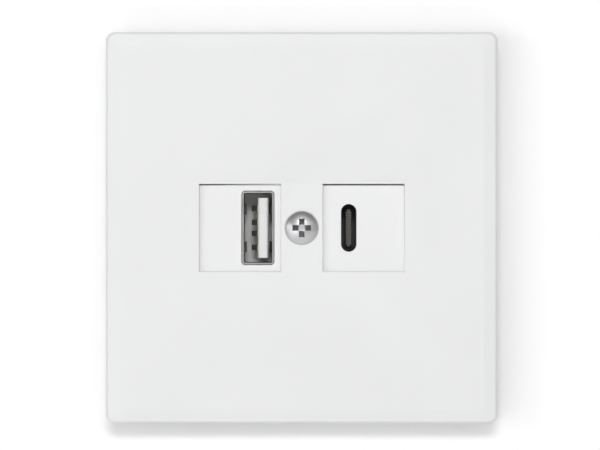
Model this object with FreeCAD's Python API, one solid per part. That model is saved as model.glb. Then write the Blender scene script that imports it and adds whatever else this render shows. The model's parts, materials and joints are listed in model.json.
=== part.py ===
import FreeCAD, Part
import math
import os

os.makedirs("parts", exist_ok=True)
V = FreeCAD.Vector

# Frame, in millimetres: X to the right and Z up as seen from the room, Y into the wall. The wall
# face is the plane y = 0, and the origin is the centre of the circle of the wall-box screws.

# Cover plate
plate_side = 70.0
plate_depth = 9.0
plate_front_wall = 2.0
plate_rim_wall = 1.6
plate_rim_draft = 0.2
plate_corner_radius = 1.5
plate_bevel_width = 2.4
plate_bevel_drop = 0.3
plate_edge_cut = 0.4
window_width = 14.6
window_height = 15.7
window_spacing = 22.1
collar_wall = 1.0
plate_rib_thickness = 1.0
plate_rib_depth = 1.4
plate_rib_offset = 5.2
plate_post_side = 3.6
plate_post_inset = 7.5
plate_boss_radius = 3.5
plate_boss_depth = 1.2

# Cover screw and the brass bush that takes it
screw_diameter = 3.0
screw_head_diameter = 5.9
screw_head_rise = 0.7
screw_length = 8.0
screw_hole_clearance = 0.15
cross_width = 0.9
cross_span = 3.5
cross_floor_span = 1.2
cross_depth = 1.6
bush_diameter = 4.6
bush_length = 5.0
bush_seat_depth = 0.1
thread_clearance = 0.05
press_clearance = 0.05

# Support ring
ring_margin = 0.4
ring_thickness = 1.2
ring_corner_cut = 6.0
ring_clearance = 0.3
box_screw_circle = 60.0
box_screw_hole_diameter = 3.5
ring_slot_length = 7.0
ring_slot_width = 3.2
ring_slot_height = 14.0
ring_tab_width = 6.0
ring_tab_length = 3.0
ring_tab_offset = 9.0

# Front housing
flange_lip = 2.0
flange_thickness = 2.0
flange_corner_radius = 7.0
block_clearance = 0.1
block_recess = 1.2
block_wall = 0.95
block_front_wall = 1.5
pillar_height = 8.0
pillar_wall = 1.6
pillar_floor = 0.8
spigot_wall = 1.2
spigot_depth = 2.7
spigot_clearance = 0.2
guide_wall = 0.9
guide_depth = 3.2
board_post_size = 1.8

# Rear housing
case_width = 40.0
case_height = 46.0
case_depth = 29.5
case_wall = 1.6
case_corner_radius = 6.0
case_edge_cut = 0.8
boss_half_side = 2.2
boss_inset = 0.2
shoulder_reach = 1.5
shoulder_thickness = 2.0
shoulder_length = 6.0
shoulder_offset = 12.0
board_rib_thickness = 1.4
board_rib_offset = 8.0
port_rib_reach = 0.8
power_rib_reach = 1.8
pole_fin_thickness = 1.0
pole_fin_height = 1.8

# Housing screws
case_screw_diameter = 2.2
case_screw_head_diameter = 4.0
case_screw_head_height = 1.3
case_screw_length = 9.4
case_screw_play = 0.15
pilot_depth = 9.0

# Circuit boards
board_clearance = 0.2
port_board_thickness = 1.2
power_board_thickness = 1.6
barrier_thickness = 0.5
header_pitch = 2.54
header_pins_count = 4
header_height = 2.5
header_offset = 4.2
header_edge_gap = 2.0
pin_size = 0.64
pin_reach = 0.5

# USB-A port, its long side upright
usb_a_shift = 3.2
usb_a_width = 5.7
usb_a_height = 13.1
usb_a_corner_radius = 0.6
usb_wall = 0.3
port_length = 13.0
usb_a_socket_depth = 9.2
usb_a_tongue_thickness = 1.84
usb_a_tongue_height = 10.8
usb_a_tongue_setback = 0.9
usb_a_tongue_gap = 0.7
usb_a_tongue_chamfer = 0.3
usb_a_contact_width = 1.0
usb_a_contact_thickness = 0.3
usb_a_contact_inset = 0.2
usb_a_contact_bow = 1.1
usb_a_contact_places = (-3.5, -1.0, 1.0, 3.5)
finger_width = 2.0
finger_slot_width = 2.7
finger_length = 5.0
finger_start = 2.4
finger_bow = 0.5
finger_place = 3.4
leg_width = 1.2
leg_reach = 0.8
leg_play = 0.2
fit_clearance = 0.1

# USB-C port, its long side upright
usb_c_shift = 2.65
usb_c_width = 3.16
usb_c_height = 8.94
usb_c_socket_depth = 6.6
usb_c_tongue_thickness = 0.7
usb_c_tongue_height = 6.69
usb_c_tongue_setback = 0.5
usb_c_root_thickness = 1.3
usb_c_root_depth = 1.0
usb_c_pad_width = 0.25
usb_c_pad_pitch = 0.5
usb_c_pad_length = 3.5
usb_c_pad_thickness = 0.1
usb_c_pad_setback = 0.6
usb_c_pads_per_side = 12
usb_c_leg_place = 2.4

# Parts on the power board
part_gap = 0.4
core_width = 13.4
core_height = 11.0
core_thickness = 4.6
core_leg_width = 3.6
core_outer_leg_width = 1.8
core_yoke_height = 2.0
bobbin_wall = 0.5
bobbin_flange_thickness = 0.7
winding_depth = 2.2
core_lift = 5.6
input_capacitor_diameter = 6.3
input_capacitor_length = 12.0
output_capacitor_diameter = 5.0
output_capacitor_length = 8.0
fuse_diameter = 4.0
fuse_length = 9.5
varistor_diameter = 7.0
varistor_thickness = 3.2
varistor_lift = 0.8
wire_diameter = 0.6
bridge_width = 4.7
bridge_height = 3.0
bridge_thickness = 2.5
safety_capacitor_width = 9.0
safety_capacitor_height = 4.6
safety_capacitor_depth = 9.0
choke_diameter = 4.4
choke_core_diameter = 2.4
choke_flange_thickness = 0.9
choke_length = 6.0
switch_width = 5.0
switch_height = 3.0
switch_thickness = 1.5
controller_side = 5.0
controller_thickness = 0.9
controller_height = 2.0
component_edge = 0.3

# Spring terminals, one for each pole
pole_gap = 1.4
terminal_clearance = 0.2
terminal_proud = 1.0
terminal_back_wall = 6.0
chamber_depth = 10.0
terminal_wall = 0.8
terminal_edge_cut = 0.3
rail_thickness = 0.8
rail_end_gap = 0.5
rail_pin_width = 1.2
rail_pin_place = 2.4
wire_hole_diameter = 3.0
wire_hole_place = 2.4
wire_rail_gap = 0.2
lever_web = 0.6
lever_side_gap = 1.4
lever_height = 3.2
lever_play = 0.2
lever_travel = 1.8
lever_stub = 0.6
lever_flange_thickness = 0.6
lever_flange_lip = 0.5
lever_nose_height = 1.5
lever_nose_gap = 0.3
lever_grip_depth = 0.3
lever_grip_count = 3
spring_thickness = 0.4
spring_side_gap = 0.2
spring_loop_radius = 1.2
spring_turn = 125.0
spring_rail_gap = 0.1
spring_top_gap = 0.4

# Places along Y, from the room into the wall
plate_front = -plate_depth
plate_inner = plate_front + plate_front_wall
ring_front = -ring_thickness
flange_front = ring_front - flange_thickness
pillar_front = plate_inner + plate_boss_depth
block_front = plate_front + block_recess
block_inner = block_front + block_front_wall
spigot_end = ring_front + spigot_depth
port_board_front = block_front + port_length
port_board_back = port_board_front + port_board_thickness
terminal_back = case_depth + terminal_proud
chamber_back = terminal_back - terminal_back_wall
power_board_back = chamber_back - chamber_depth
power_board_front = power_board_back - power_board_thickness
barrier_front = power_board_front - barrier_thickness
case_inner = case_depth - case_wall
bush_front = pillar_front + bush_seat_depth
bush_back = bush_front + bush_length

# Places across the insert
ring_side = plate_side - 2 * (plate_rim_wall + ring_margin)
flange_width = case_width + 2 * flange_lip
flange_height = case_height + 2 * flange_lip
case_half_width = case_width / 2 - case_wall
case_half_height = case_height / 2 - case_wall
boss_x = case_half_width - boss_half_side - boss_inset
boss_z = case_half_height - boss_half_side - boss_inset
boss_places = [(sx * boss_x, sz * boss_z) for sx in (-1, 1) for sz in (-1, 1)]
board_tab_half_width = boss_x - boss_half_side - 2 * board_clearance
board_half_height = boss_z - boss_half_side - 2 * board_clearance
window_places = (-window_spacing / 2, window_spacing / 2)
usb_a_offset = window_places[0] + usb_a_shift
usb_c_offset = window_places[1] - usb_c_shift
block_width = window_width - 2 * block_clearance
block_height = window_height - 2 * block_clearance
header_z = case_half_height - header_edge_gap
header_width = header_pins_count * header_pitch

# Places inside a terminal, from its floor up
terminal_width = boss_x - boss_half_side - terminal_clearance - pole_gap / 2
pole_x = (pole_gap + terminal_width) / 2
terminal_floor = -case_half_height + terminal_clearance
chamber_floor = terminal_floor + terminal_wall
rail_top = chamber_floor + rail_thickness
wire_z = rail_top + wire_rail_gap + wire_hole_diameter / 2
slot_height = lever_height + 2 * lever_play
lever_z = wire_z + wire_hole_diameter / 2 + lever_web + slot_height / 2
chamber_top = lever_z + slot_height / 2 + spring_thickness + 2 * spring_top_gap
terminal_top = chamber_top + terminal_wall
chamber_width = terminal_width - 2 * terminal_wall
lever_width = chamber_width - 2 * lever_side_gap

# Layout of the power board: one row above the terminals, one above that, the header at the top
layout_half_width = case_half_width - power_rib_reach - board_clearance
row_one_height = varistor_thickness + part_gap + bridge_height
row_one_z = terminal_top + part_gap + row_one_height / 2
row_two_floor = row_one_z + row_one_height / 2 + part_gap
row_two_top = header_z - pin_size / 2 - part_gap
row_two_z = (row_two_floor + row_two_top) / 2
core_x = -layout_half_width + core_width / 2
core_z = row_two_floor + core_height / 2
core_y = power_board_back + core_lift
output_capacitor_x = layout_half_width - output_capacitor_diameter / 2
core_edge = core_x + core_width / 2
input_capacitor_x = (core_edge + output_capacitor_x - output_capacitor_diameter / 2) / 2
fuse_x = -layout_half_width + fuse_diameter / 2
varistor_x = (fuse_x + fuse_diameter / 2) / 2
safety_capacitor_x = layout_half_width - safety_capacitor_width / 2
choke_x = (varistor_x + varistor_diameter / 2 + safety_capacitor_x - safety_capacitor_width / 2) / 2


def rounded_outline(width, height, radius, y, x=0.0, z=0.0):
    """Closed wire of a rectangle with round corners, in the plane at this y."""
    arcs = []
    for turn, (side, up) in enumerate(((1, 1), (-1, 1), (-1, -1), (1, -1))):
        centre = V(x + side * (width / 2 - radius), y, z + up * (height / 2 - radius))
        ends = []
        for step in (0, 45, 90):
            angle = math.radians(90 * turn + step)
            ends.append(centre + V(radius * math.cos(angle), 0, radius * math.sin(angle)))
        arcs.append(Part.Arc(*ends).toShape())
    edges = []
    for arc, following in zip(arcs, arcs[1:] + arcs[:1]):
        edges.append(arc)
        start, end = arc.Vertexes[-1].Point, following.Vertexes[0].Point
        if start.distanceToPoint(end) > 1e-6:
            edges.append(Part.LineSegment(start, end).toShape())
    return Part.Wire(edges)


def block(width, height, y_from, y_to, x=0.0, z=0.0):
    """Box centred on x and z, between two places along Y."""
    corner = V(x - width / 2, y_from, z - height / 2)
    return Part.makeBox(width, y_to - y_from, height, corner)


def rounded_block(width, height, radius, y_from, y_to, x=0.0, z=0.0):
    """Prism along Y on a rectangle with round corners."""
    outline = rounded_outline(width, height, radius, y_from, x, z)
    return Part.Face(outline).extrude(V(0, y_to - y_from, 0))


def tapered_block(front, back, radius, y_from, y_to, x=0.0, z=0.0):
    """Solid that runs straight from a front rectangle (width, height) to a back one."""
    outlines = [rounded_outline(*front, radius, y_from, x, z), rounded_outline(*back, radius, y_to, x, z)]
    return Part.makeLoft(outlines, True, True)


def rod(diameter, y_from, y_to, x=0.0, z=0.0):
    """Cylinder along Y."""
    return Part.makeCylinder(diameter / 2, y_to - y_from, V(x, y_from, z), V(0, 1, 0))


def turned(profile, x=0.0, z=0.0):
    """Solid of revolution about the line along Y at x, z; profile is (radius, y) points."""
    points = [V(x + radius, y, z) for radius, y in profile]
    face = Part.Face(Part.makePolygon(points + points[:1]))
    return face.revolve(V(x, 0, z), V(0, 1, 0), 360)


def side_profile(points, x_from, x_to):
    """Polygon of (y, z) points, extruded along X."""
    corners = [V(x_from, y, z) for y, z in points]
    return Part.Face(Part.makePolygon(corners + corners[:1])).extrude(V(x_to - x_from, 0, 0))


def top_profile(points, z_from, z_to):
    """Polygon of (x, y) points, extruded along Z."""
    corners = [V(x, y, z_from) for x, y in points]
    return Part.Face(Part.makePolygon(corners + corners[:1])).extrude(V(0, 0, z_to - z_from))


def joined(shapes):
    """One solid from pieces that touch or overlap."""
    first, *rest = shapes
    return first.multiFuse(rest).removeSplitter() if rest else first


def edges_in_plane(shape, y):
    """Edges that lie wholly in the plane at this y."""
    return [e for e in shape.Edges if abs(e.BoundBox.YMin - y) < 1e-4 and abs(e.BoundBox.YMax - y) < 1e-4]


def cross_recess(width, span, floor_span, y_from, y_to):
    """Tapered cross-shaped recess on the origin's line."""
    wing = top_profile([(-span / 2, y_from), (span / 2, y_from), (floor_span / 2, y_to),
                        (-floor_span / 2, y_to)], -width / 2, width / 2)
    other = wing.copy()
    other.rotate(V(0, 0, 0), V(0, 1, 0), 90)
    return wing.fuse(other)


def save(name, shape):
    """Write one sub-part, after a look at its solids."""
    if not shape.isValid() or not shape.Solids:
        raise ValueError(name + " is not a valid solid")
    shape.exportStep("parts/" + name + ".step")


def make_cover_plate():
    """Square tray with a shallow front bevel, two windows, a screw hole, collars, ribs and posts."""
    shoulder = plate_front + plate_bevel_drop
    edge_end = shoulder + plate_edge_cut
    face_side = plate_side - 2 * plate_bevel_width
    shoulder_side = plate_side - 2 * plate_edge_cut
    outside = joined([
        rounded_block(plate_side, plate_side, plate_corner_radius, edge_end, 0),
        tapered_block((shoulder_side, shoulder_side), (plate_side, plate_side), plate_corner_radius,
                      shoulder, edge_end),
        tapered_block((face_side, face_side), (shoulder_side, shoulder_side), plate_corner_radius,
                      plate_front, shoulder)])
    tray_side = plate_side - 2 * plate_rim_wall
    mouth_side = tray_side + 2 * plate_rim_draft
    tray = tapered_block((tray_side, tray_side), (mouth_side, mouth_side), plate_corner_radius,
                         plate_inner, 0)
    plate = outside.cut(tray)

    collar_width = window_width + 2 * collar_wall
    collar_height = window_height + 2 * collar_wall
    rib_end = plate_inner + plate_rib_depth
    post_place = plate_side / 2 - plate_post_inset
    inside = [rod(2 * plate_boss_radius, plate_inner, pillar_front)]
    for x in window_places:
        inside.append(block(collar_width, collar_height, plate_inner, pillar_front, x))
        inside.append(block(plate_rib_thickness, tray_side, plate_inner, rib_end, x))
    for z in (-plate_rib_offset, plate_rib_offset):
        inside.append(block(tray_side, plate_rib_thickness, plate_inner, rib_end, 0, z))
    for sx in (-1, 1):
        for sz in (-1, 1):
            inside.append(block(plate_post_side, plate_post_side, plate_inner, ring_front,
                                sx * post_place, sz * post_place))
    plate = joined([plate] + inside)

    holes = [screw_cone(screw_hole_clearance, ring_front)]
    for x in window_places:
        holes.append(block(window_width, window_height, plate_front, rib_end, x))
    return plate.cut(holes[0].multiFuse(holes[1:]))


def screw_cone(clearance, end):
    """Countersunk head below the plate's face, and its shank, both wider by a clearance."""
    head, shank = screw_head_diameter / 2 + clearance, screw_diameter / 2 + clearance
    return turned([(0, plate_front), (head, plate_front), (shank, plate_front + head - shank),
                   (shank, end), (0, end)])


def make_cover_screw():
    """Raised countersunk screw: crown, 90 degree cone and shank, with a cross recess."""
    head, shank = screw_head_diameter / 2, screw_diameter / 2
    top, tip = plate_front - screw_head_rise, plate_front + screw_length
    screw = turned([(0, top), (head / 2, top), (head, plate_front), (shank, plate_front + head - shank),
                    (shank, tip), (0, tip)])
    return screw.cut(cross_recess(cross_width, cross_span, cross_floor_span, top, plate_front + cross_depth))


def make_threaded_bush():
    """Brass bush that is pressed into the pillar."""
    return rod(bush_diameter, bush_front, bush_back).cut(
        rod(screw_diameter + 2 * thread_clearance, bush_front, bush_back))


def make_front_housing():
    """Flange with two hollow port blocks, the screw pillar between them and a spigot behind."""
    solids = [rounded_block(flange_width, flange_height, flange_corner_radius, flange_front, ring_front)]
    for x in window_places:
        solids.append(block(block_width, block_height, block_front, ring_front, x))
    pillar_end = bush_back + pillar_floor
    pillar_width = bush_diameter + 2 * (press_clearance + pillar_wall)
    solids.append(block(pillar_width, pillar_height, pillar_front, ring_front))
    solids.append(rod(pillar_width, flange_front, pillar_end))

    spigot_width = 2 * (case_half_width - spigot_clearance)
    spigot_height = 2 * (case_half_height - spigot_clearance)
    spigot_radius = case_corner_radius - case_wall - spigot_clearance
    spigot = rounded_block(spigot_width, spigot_height, spigot_radius, ring_front, spigot_end)
    hollow = rounded_block(spigot_width - 2 * spigot_wall, spigot_height - 2 * spigot_wall,
                           spigot_radius - spigot_wall, ring_front, spigot_end)
    posts = []
    for x, z in boss_places:
        posts.append(block(2 * boss_half_side, 2 * boss_half_side, ring_front, spigot_end, x, z))
    post_x = (spigot_width - board_post_size) / 2
    for sx in (-1, 1):
        for sz in (-1, 1):
            posts.append(block(board_post_size, board_post_size, ring_front, port_board_front,
                               sx * post_x, sz * board_rib_offset))
    skirt = rounded_block(spigot_width, spigot_height, spigot_radius, ring_front, port_board_front)
    kept_posts = posts[0].multiFuse(posts[1:]).common(skirt)
    solids += [spigot.cut(hollow), kept_posts]
    housing = joined(solids)

    cavity_width = block_width - 2 * block_wall
    cavity_height = block_height - 2 * block_wall
    cuts = [block(cavity_width, cavity_height, block_inner, ring_front, x) for x in window_places]
    housing = housing.cut(cuts[0].multiFuse(cuts[1:]))
    guide = rounded_block(usb_c_width + 2 * (guide_wall + fit_clearance),
                          usb_c_height + 2 * (guide_wall + fit_clearance),
                          usb_c_width / 2 + guide_wall, block_inner, block_inner + guide_depth, usb_c_offset)
    housing = housing.fuse(guide)

    cuts = [usb_a_tube(fit_clearance, block_front, block_inner),
            usb_c_tube(fit_clearance - usb_wall, block_front, block_inner),
            usb_c_tube(fit_clearance, block_inner, block_inner + guide_depth),
            rod(bush_diameter + 2 * press_clearance, pillar_front, bush_back + press_clearance)]
    for x, z in boss_places:
        cuts.append(rod(case_screw_diameter + 2 * case_screw_play, flange_front, spigot_end, x, z))
    return housing.cut(cuts[0].multiFuse(cuts[1:])).removeSplitter()


def usb_a_tube(growth, y_from, y_to):
    """Prism on the outline of the USB-A shell, grown on every side."""
    return rounded_block(usb_a_width + 2 * growth, usb_a_height + 2 * growth,
                         usb_a_corner_radius + growth, y_from, y_to, usb_a_offset)


def usb_c_tube(growth, y_from, y_to):
    """Prism on the racetrack outline of the USB-C shell, grown on every side."""
    return rounded_block(usb_c_width + 2 * growth, usb_c_height + 2 * growth,
                         usb_c_width / 2 + growth, y_from, y_to, usb_c_offset)


def make_rear_housing():
    """Deep cup with corner bosses, stepped board ribs, ring shoulders and terminal windows."""
    outside = rounded_block(case_width, case_height, case_corner_radius, ring_front, case_depth)
    outside = outside.makeChamfer(case_edge_cut, edges_in_plane(outside, case_depth))
    inside = rounded_block(2 * case_half_width, 2 * case_half_height, case_corner_radius - case_wall,
                           ring_front, case_inner)
    shell = outside.cut(inside)
    inner = [block(2 * boss_half_side, 2 * boss_half_side, spigot_end, case_inner, x, z)
             for x, z in boss_places]
    for side in (-1, 1):
        wall = side * (case_half_width + case_wall / 2)
        step = side * (case_half_width - port_rib_reach)
        ledge = side * (case_half_width - power_rib_reach)
        outline = [(wall, port_board_back), (step, port_board_back), (step, power_board_back),
                   (ledge, power_board_back), (ledge, case_inner), (wall, case_inner)]
        for z in (-board_rib_offset, board_rib_offset):
            inner.append(top_profile(outline, z - board_rib_thickness / 2, z + board_rib_thickness / 2))
    cup = joined([shell] + inner)

    outer = []
    for side in (-1, 1):
        edge = side * (case_width / 2 + shoulder_reach)
        wall = side * case_width / 2
        root = side * (case_width - case_wall) / 2
        outline = [(root, 0), (edge, 0), (edge, shoulder_thickness),
                   (wall, shoulder_thickness + shoulder_reach), (root, shoulder_thickness + shoulder_reach)]
        for z in (-shoulder_offset, shoulder_offset):
            outer.append(top_profile(outline, z - shoulder_length / 2, z + shoulder_length / 2))
    fin_height = terminal_top - terminal_floor
    fin_z = (terminal_top + terminal_floor) / 2
    outer.append(block(pole_fin_thickness, fin_height, case_inner, terminal_back + pole_fin_height, 0, fin_z))
    cup = joined([cup] + outer)

    cuts = []
    for x, z in boss_places:
        cuts.append(rod(case_screw_diameter + 2 * thread_clearance,
                        spigot_end, spigot_end + pilot_depth, x, z))
    for x in (-pole_x, pole_x):
        cuts.append(block(terminal_width + terminal_clearance, fin_height + terminal_clearance,
                          case_inner, case_depth, x, fin_z))
    return cup.cut(cuts[0].multiFuse(cuts[1:]))


def make_support_ring():
    """Stamped square ring: opening for the insert, box-screw holes, slots and four bent tabs."""
    half, cut = ring_side / 2, ring_corner_cut
    corners = []
    for sx, sz in ((1, 1), (-1, 1), (-1, -1), (1, -1)):
        pair = [(sx * half, sz * (half - cut)), (sx * (half - cut), sz * half)]
        corners += pair if sx == sz else pair[::-1]
    points = [V(x, ring_front, z) for x, z in corners]
    ring = Part.Face(Part.makePolygon(points + points[:1])).extrude(V(0, ring_thickness, 0))
    opening_width = case_width + 2 * ring_clearance
    opening_height = case_height + 2 * ring_clearance
    cuts = [rounded_block(opening_width, opening_height, case_corner_radius + ring_clearance, ring_front, 0)]
    slot_x = (ring_side / 2 + opening_width / 2) / 2
    for quarter in range(4):
        angle = math.radians(90 * quarter)
        x, z = box_screw_circle / 2 * math.cos(angle), box_screw_circle / 2 * math.sin(angle)
        cuts.append(rod(box_screw_hole_diameter, ring_front, 0, x, z))
    tabs = []
    for sx in (-1, 1):
        for sz in (-1, 1):
            cuts.append(rounded_block(ring_slot_width, ring_slot_length, ring_slot_width / 2,
                                      ring_front, 0, sx * slot_x, sz * ring_slot_height))
            tab_z = sz * (opening_height + ring_thickness) / 2
            tabs.append(block(ring_tab_width, ring_thickness, ring_front, ring_tab_length,
                              sx * ring_tab_offset, tab_z))
    ring = ring.cut(cuts[0].multiFuse(cuts[1:]))
    return joined([ring] + tabs)


def make_housing_screws():
    """Four pan-head screws from the flange into the corner bosses."""
    top = flange_front - case_screw_head_height
    end = flange_front + case_screw_length
    head, shank = case_screw_head_diameter / 2, case_screw_diameter / 2
    profile = [(0, top), (head, top), (head, flange_front), (shank, flange_front), (shank, end), (0, end)]
    return Part.makeCompound([turned(profile, x, z) for x, z in boss_places])


def notched_board(half_width, y_from, y_to, margin=0.0):
    """Board with its four corners cut away for the bosses."""
    tab_height = 2 * (case_half_height - board_clearance - margin)
    cross = joined([
        block(2 * (half_width - margin), 2 * (board_half_height - margin), y_from, y_to),
        block(2 * (board_tab_half_width - margin), tab_height, y_from, y_to)])
    return cross


def header_places():
    """X of each pin of the header between the boards."""
    first = header_offset - (header_pins_count - 1) * header_pitch / 2
    return [first + index * header_pitch for index in range(header_pins_count)]


def header_hole(y_from, y_to, x):
    """Square hole in a board for one pin of the header."""
    return block(pin_size + leg_play, pin_size + leg_play, y_from, y_to, x, header_z)


def make_port_board():
    """Small board that carries both ports, with slots for their legs and holes for pins."""
    board = notched_board(case_half_width - board_clearance, port_board_front, port_board_back)
    cuts = [leg for leg in usb_legs(leg_play)]
    hole = usb_a_contact_width + 2 * leg_play
    for z in usb_a_contact_places:
        cuts.append(block(hole, hole, port_board_front, port_board_back, usb_a_contact_x(), z))
    for x in header_places():
        cuts.append(header_hole(port_board_front, port_board_back, x))
    return board.cut(cuts[0].multiFuse(cuts[1:]))


def make_power_board():
    """Main board, wider tabs at its top and bottom pass between the bosses."""
    half_width = case_half_width - port_rib_reach - board_clearance
    board = notched_board(half_width, power_board_front, power_board_back)
    cuts = []
    for x in header_places():
        cuts.append(header_hole(power_board_front, power_board_back, x))
    for pole in (-pole_x, pole_x):
        for x in (pole - rail_pin_place, pole + rail_pin_place):
            cuts.append(block(rail_pin_width + leg_play, rail_thickness + leg_play,
                              power_board_front, power_board_back, x, rail_pin_z()))
    return board.cut(cuts[0].multiFuse(cuts[1:]))


def make_insulation_barrier():
    """Thin sheet on the front of the main board, open round the header."""
    half_width = case_half_width - port_rib_reach - board_clearance
    sheet = notched_board(half_width, barrier_front, power_board_front, board_clearance)
    opening = block(header_width + part_gap, header_height + part_gap, barrier_front, power_board_front,
                    header_offset, header_z)
    return sheet.cut(opening)


def make_board_header():
    """Plastic body of the pin header that joins the boards."""
    body = block(header_width, header_height, port_board_back, power_board_front, header_offset, header_z)
    pins = [block(pin_size, pin_size, port_board_back, power_board_front, x, header_z)
            for x in header_places()]
    return body.cut(pins[0].multiFuse(pins[1:]))


def make_header_pins():
    """Square pins through both boards."""
    return Part.makeCompound([block(pin_size, pin_size, port_board_front - pin_reach,
                                    power_board_back + pin_reach, x, header_z)
                              for x in header_places()])


def usb_legs(growth):
    """Solder legs of both shells, each wider by a growth, from the shells' ends down."""
    legs = []
    end = port_board_back + leg_reach
    thickness, width = usb_wall + 2 * growth, leg_width + 2 * growth
    for side in (-1, 1):
        z = side * (usb_a_height - usb_wall) / 2
        for step in (-1, 1):
            x = usb_a_offset + step * usb_a_width / 4
            legs.append(block(width, thickness, port_board_front, end, x, z))
        x = usb_c_offset + side * (usb_c_width - usb_wall) / 2
        for step in (-1, 1):
            legs.append(block(thickness, width, port_board_front, end, x, step * usb_c_leg_place))
    return legs


def make_usb_a_shell():
    """Folded metal tube with four sprung fingers cut from its wide walls, and solder legs."""
    shell = usb_a_tube(0, block_front, port_board_front).cut(
        usb_a_tube(-usb_wall, block_front, port_board_front))
    root = block_front + finger_start
    slots, fingers = [], []
    for side in (-1, 1):
        inner = usb_a_offset + side * (usb_a_width / 2 - usb_wall)
        slot_x = inner + side * usb_wall / 2
        path = [(0, root - usb_wall), (0, root), (finger_bow, root + 0.6 * finger_length),
                (finger_bow / 4, root + 0.9 * finger_length)]
        near = [(inner - side * dip, y) for dip, y in path]
        far = [(x + side * usb_wall, y) for x, y in reversed(near)]
        for place in (-finger_place, finger_place):
            slots.append(block(3 * usb_wall, finger_slot_width, root, root + finger_length, slot_x, place))
            fingers.append(top_profile(near + far, place - finger_width / 2, place + finger_width / 2))
    shell = shell.cut(slots[0].multiFuse(slots[1:]))
    legs = [leg for leg in usb_legs(0) if leg.BoundBox.Center.x < 0]
    return joined([shell] + fingers + legs)


def usb_a_tongue_face():
    """X of the tongue's face that carries the contacts, on the left as seen from the room."""
    inner = usb_a_offset + usb_a_width / 2 - usb_wall
    return inner - usb_a_tongue_gap - usb_a_tongue_thickness


def usb_a_contact_x():
    """X of the middle of a contact's straight part."""
    return usb_a_tongue_face() + usb_a_contact_inset - usb_a_contact_thickness / 2


def make_usb_a_contacts():
    """Four contact strips that bow out of the tongue, run through the base and end as pins."""
    tail = port_board_back + leg_reach
    tip = block_front + usb_a_tongue_setback + usb_a_contact_thickness
    seat = usb_a_tongue_face() + usb_a_contact_inset
    bow = usb_a_contact_bow
    path = [(seat, tail), (seat, tip + 6 * bow), (seat - bow, tip + 4 * bow), (seat - bow, tip + 3 * bow),
            (seat, tip + bow), (seat, tip)]
    near = [(x - usb_a_contact_thickness, y) for x, y in reversed(path)]
    strips = [top_profile(path + near, z - usb_a_contact_width / 2, z + usb_a_contact_width / 2)
              for z in usb_a_contact_places]
    return Part.makeCompound(strips)


def make_usb_a_body(contacts):
    """White base that fills the shell's end, and the tongue with grooves for its contacts."""
    floor = block_front + usb_a_socket_depth
    base = usb_a_tube(-usb_wall - press_clearance, floor, port_board_front)
    face = usb_a_tongue_face()
    back = face + usb_a_tongue_thickness
    tip = block_front + usb_a_tongue_setback
    edge = usb_a_tongue_chamfer
    outline = [(face, floor), (face, tip + edge), (face + edge, tip), (back - edge, tip),
               (back, tip + edge), (back, floor)]
    tongue = top_profile(outline, -usb_a_tongue_height / 2, usb_a_tongue_height / 2)
    return joined([base, tongue]).cut(contacts)


def make_usb_c_shell():
    """Seamless racetrack tube with solder legs."""
    shell = usb_c_tube(0, block_inner, port_board_front).cut(
        usb_c_tube(-usb_wall, block_inner, port_board_front))
    return joined([shell] + [leg for leg in usb_legs(0) if leg.BoundBox.Center.x > 0])


def make_usb_c_body():
    """Black base and the thin centre tongue with its thicker root."""
    floor = block_inner + usb_c_socket_depth
    base = usb_c_tube(-usb_wall - press_clearance, floor, port_board_front)
    tip = block_inner + usb_c_tongue_setback
    tongue = rounded_block(usb_c_tongue_thickness, usb_c_tongue_height, usb_c_tongue_thickness / 4,
                           tip, floor, usb_c_offset)
    root = block(usb_c_root_thickness, usb_c_tongue_height, floor - usb_c_root_depth, floor, usb_c_offset)
    return joined([base, tongue, root])


def make_usb_c_contacts():
    """Two rows of flat contact pads on the faces of the tongue."""
    start = block_inner + usb_c_tongue_setback + usb_c_pad_setback
    first = -(usb_c_pads_per_side - 1) * usb_c_pad_pitch / 2
    pads = []
    for side in (-1, 1):
        x = usb_c_offset + side * (usb_c_tongue_thickness + usb_c_pad_thickness) / 2
        for index in range(usb_c_pads_per_side):
            pads.append(block(usb_c_pad_thickness, usb_c_pad_width, start, start + usb_c_pad_length,
                              x, first + index * usb_c_pad_pitch))
    return Part.makeCompound(pads)


def make_transformer():
    """Core with two windows, bobbin on its centre leg, and the winding between the flanges."""
    front, back = core_y - core_thickness / 2, core_y + core_thickness / 2
    window_clear = (core_width - core_leg_width) / 2 - core_outer_leg_width
    window_tall = core_height - 2 * core_yoke_height
    window_middle = core_leg_width / 2 + window_clear / 2
    core = block(core_width, core_height, front, back, core_x, core_z)
    for side in (-1, 1):
        core = core.cut(block(window_clear, window_tall, front, back, core_x + side * window_middle, core_z))

    leg_gap = board_clearance / 2
    tube_width = core_leg_width + 2 * (leg_gap + bobbin_wall)
    tube_depth = core_thickness / 2 + leg_gap + bobbin_wall
    bobbin_tall = window_tall - 2 * leg_gap
    flange_wide = core_leg_width + 2 * window_clear - 2 * leg_gap
    flange_back = core_y + tube_depth + winding_depth
    tube = block(tube_width, bobbin_tall, core_y - tube_depth, core_y + tube_depth, core_x, core_z)
    parts = [tube]
    flange_z = (bobbin_tall - bobbin_flange_thickness) / 2
    for side in (-1, 1):
        parts.append(block(flange_wide, bobbin_flange_thickness, power_board_back, flange_back,
                           core_x, core_z + side * flange_z))
    hole = block(core_leg_width + 2 * leg_gap, core_height, front - leg_gap, back + leg_gap, core_x, core_z)
    bobbin = joined(parts).cut(hole)

    coil_tall = bobbin_tall - 2 * bobbin_flange_thickness
    coil_depth = tube_depth + winding_depth - leg_gap
    coil_wide = flange_wide - 2 * leg_gap
    coil = block(coil_wide, coil_tall, core_y - coil_depth, core_y + coil_depth, core_x, core_z)
    upright = [e for e in coil.Edges if abs(e.BoundBox.ZLength - coil_tall) < 1e-4]
    winding = coil.makeFillet(winding_depth / 2, upright).cut(tube)
    return core, bobbin, winding


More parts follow.
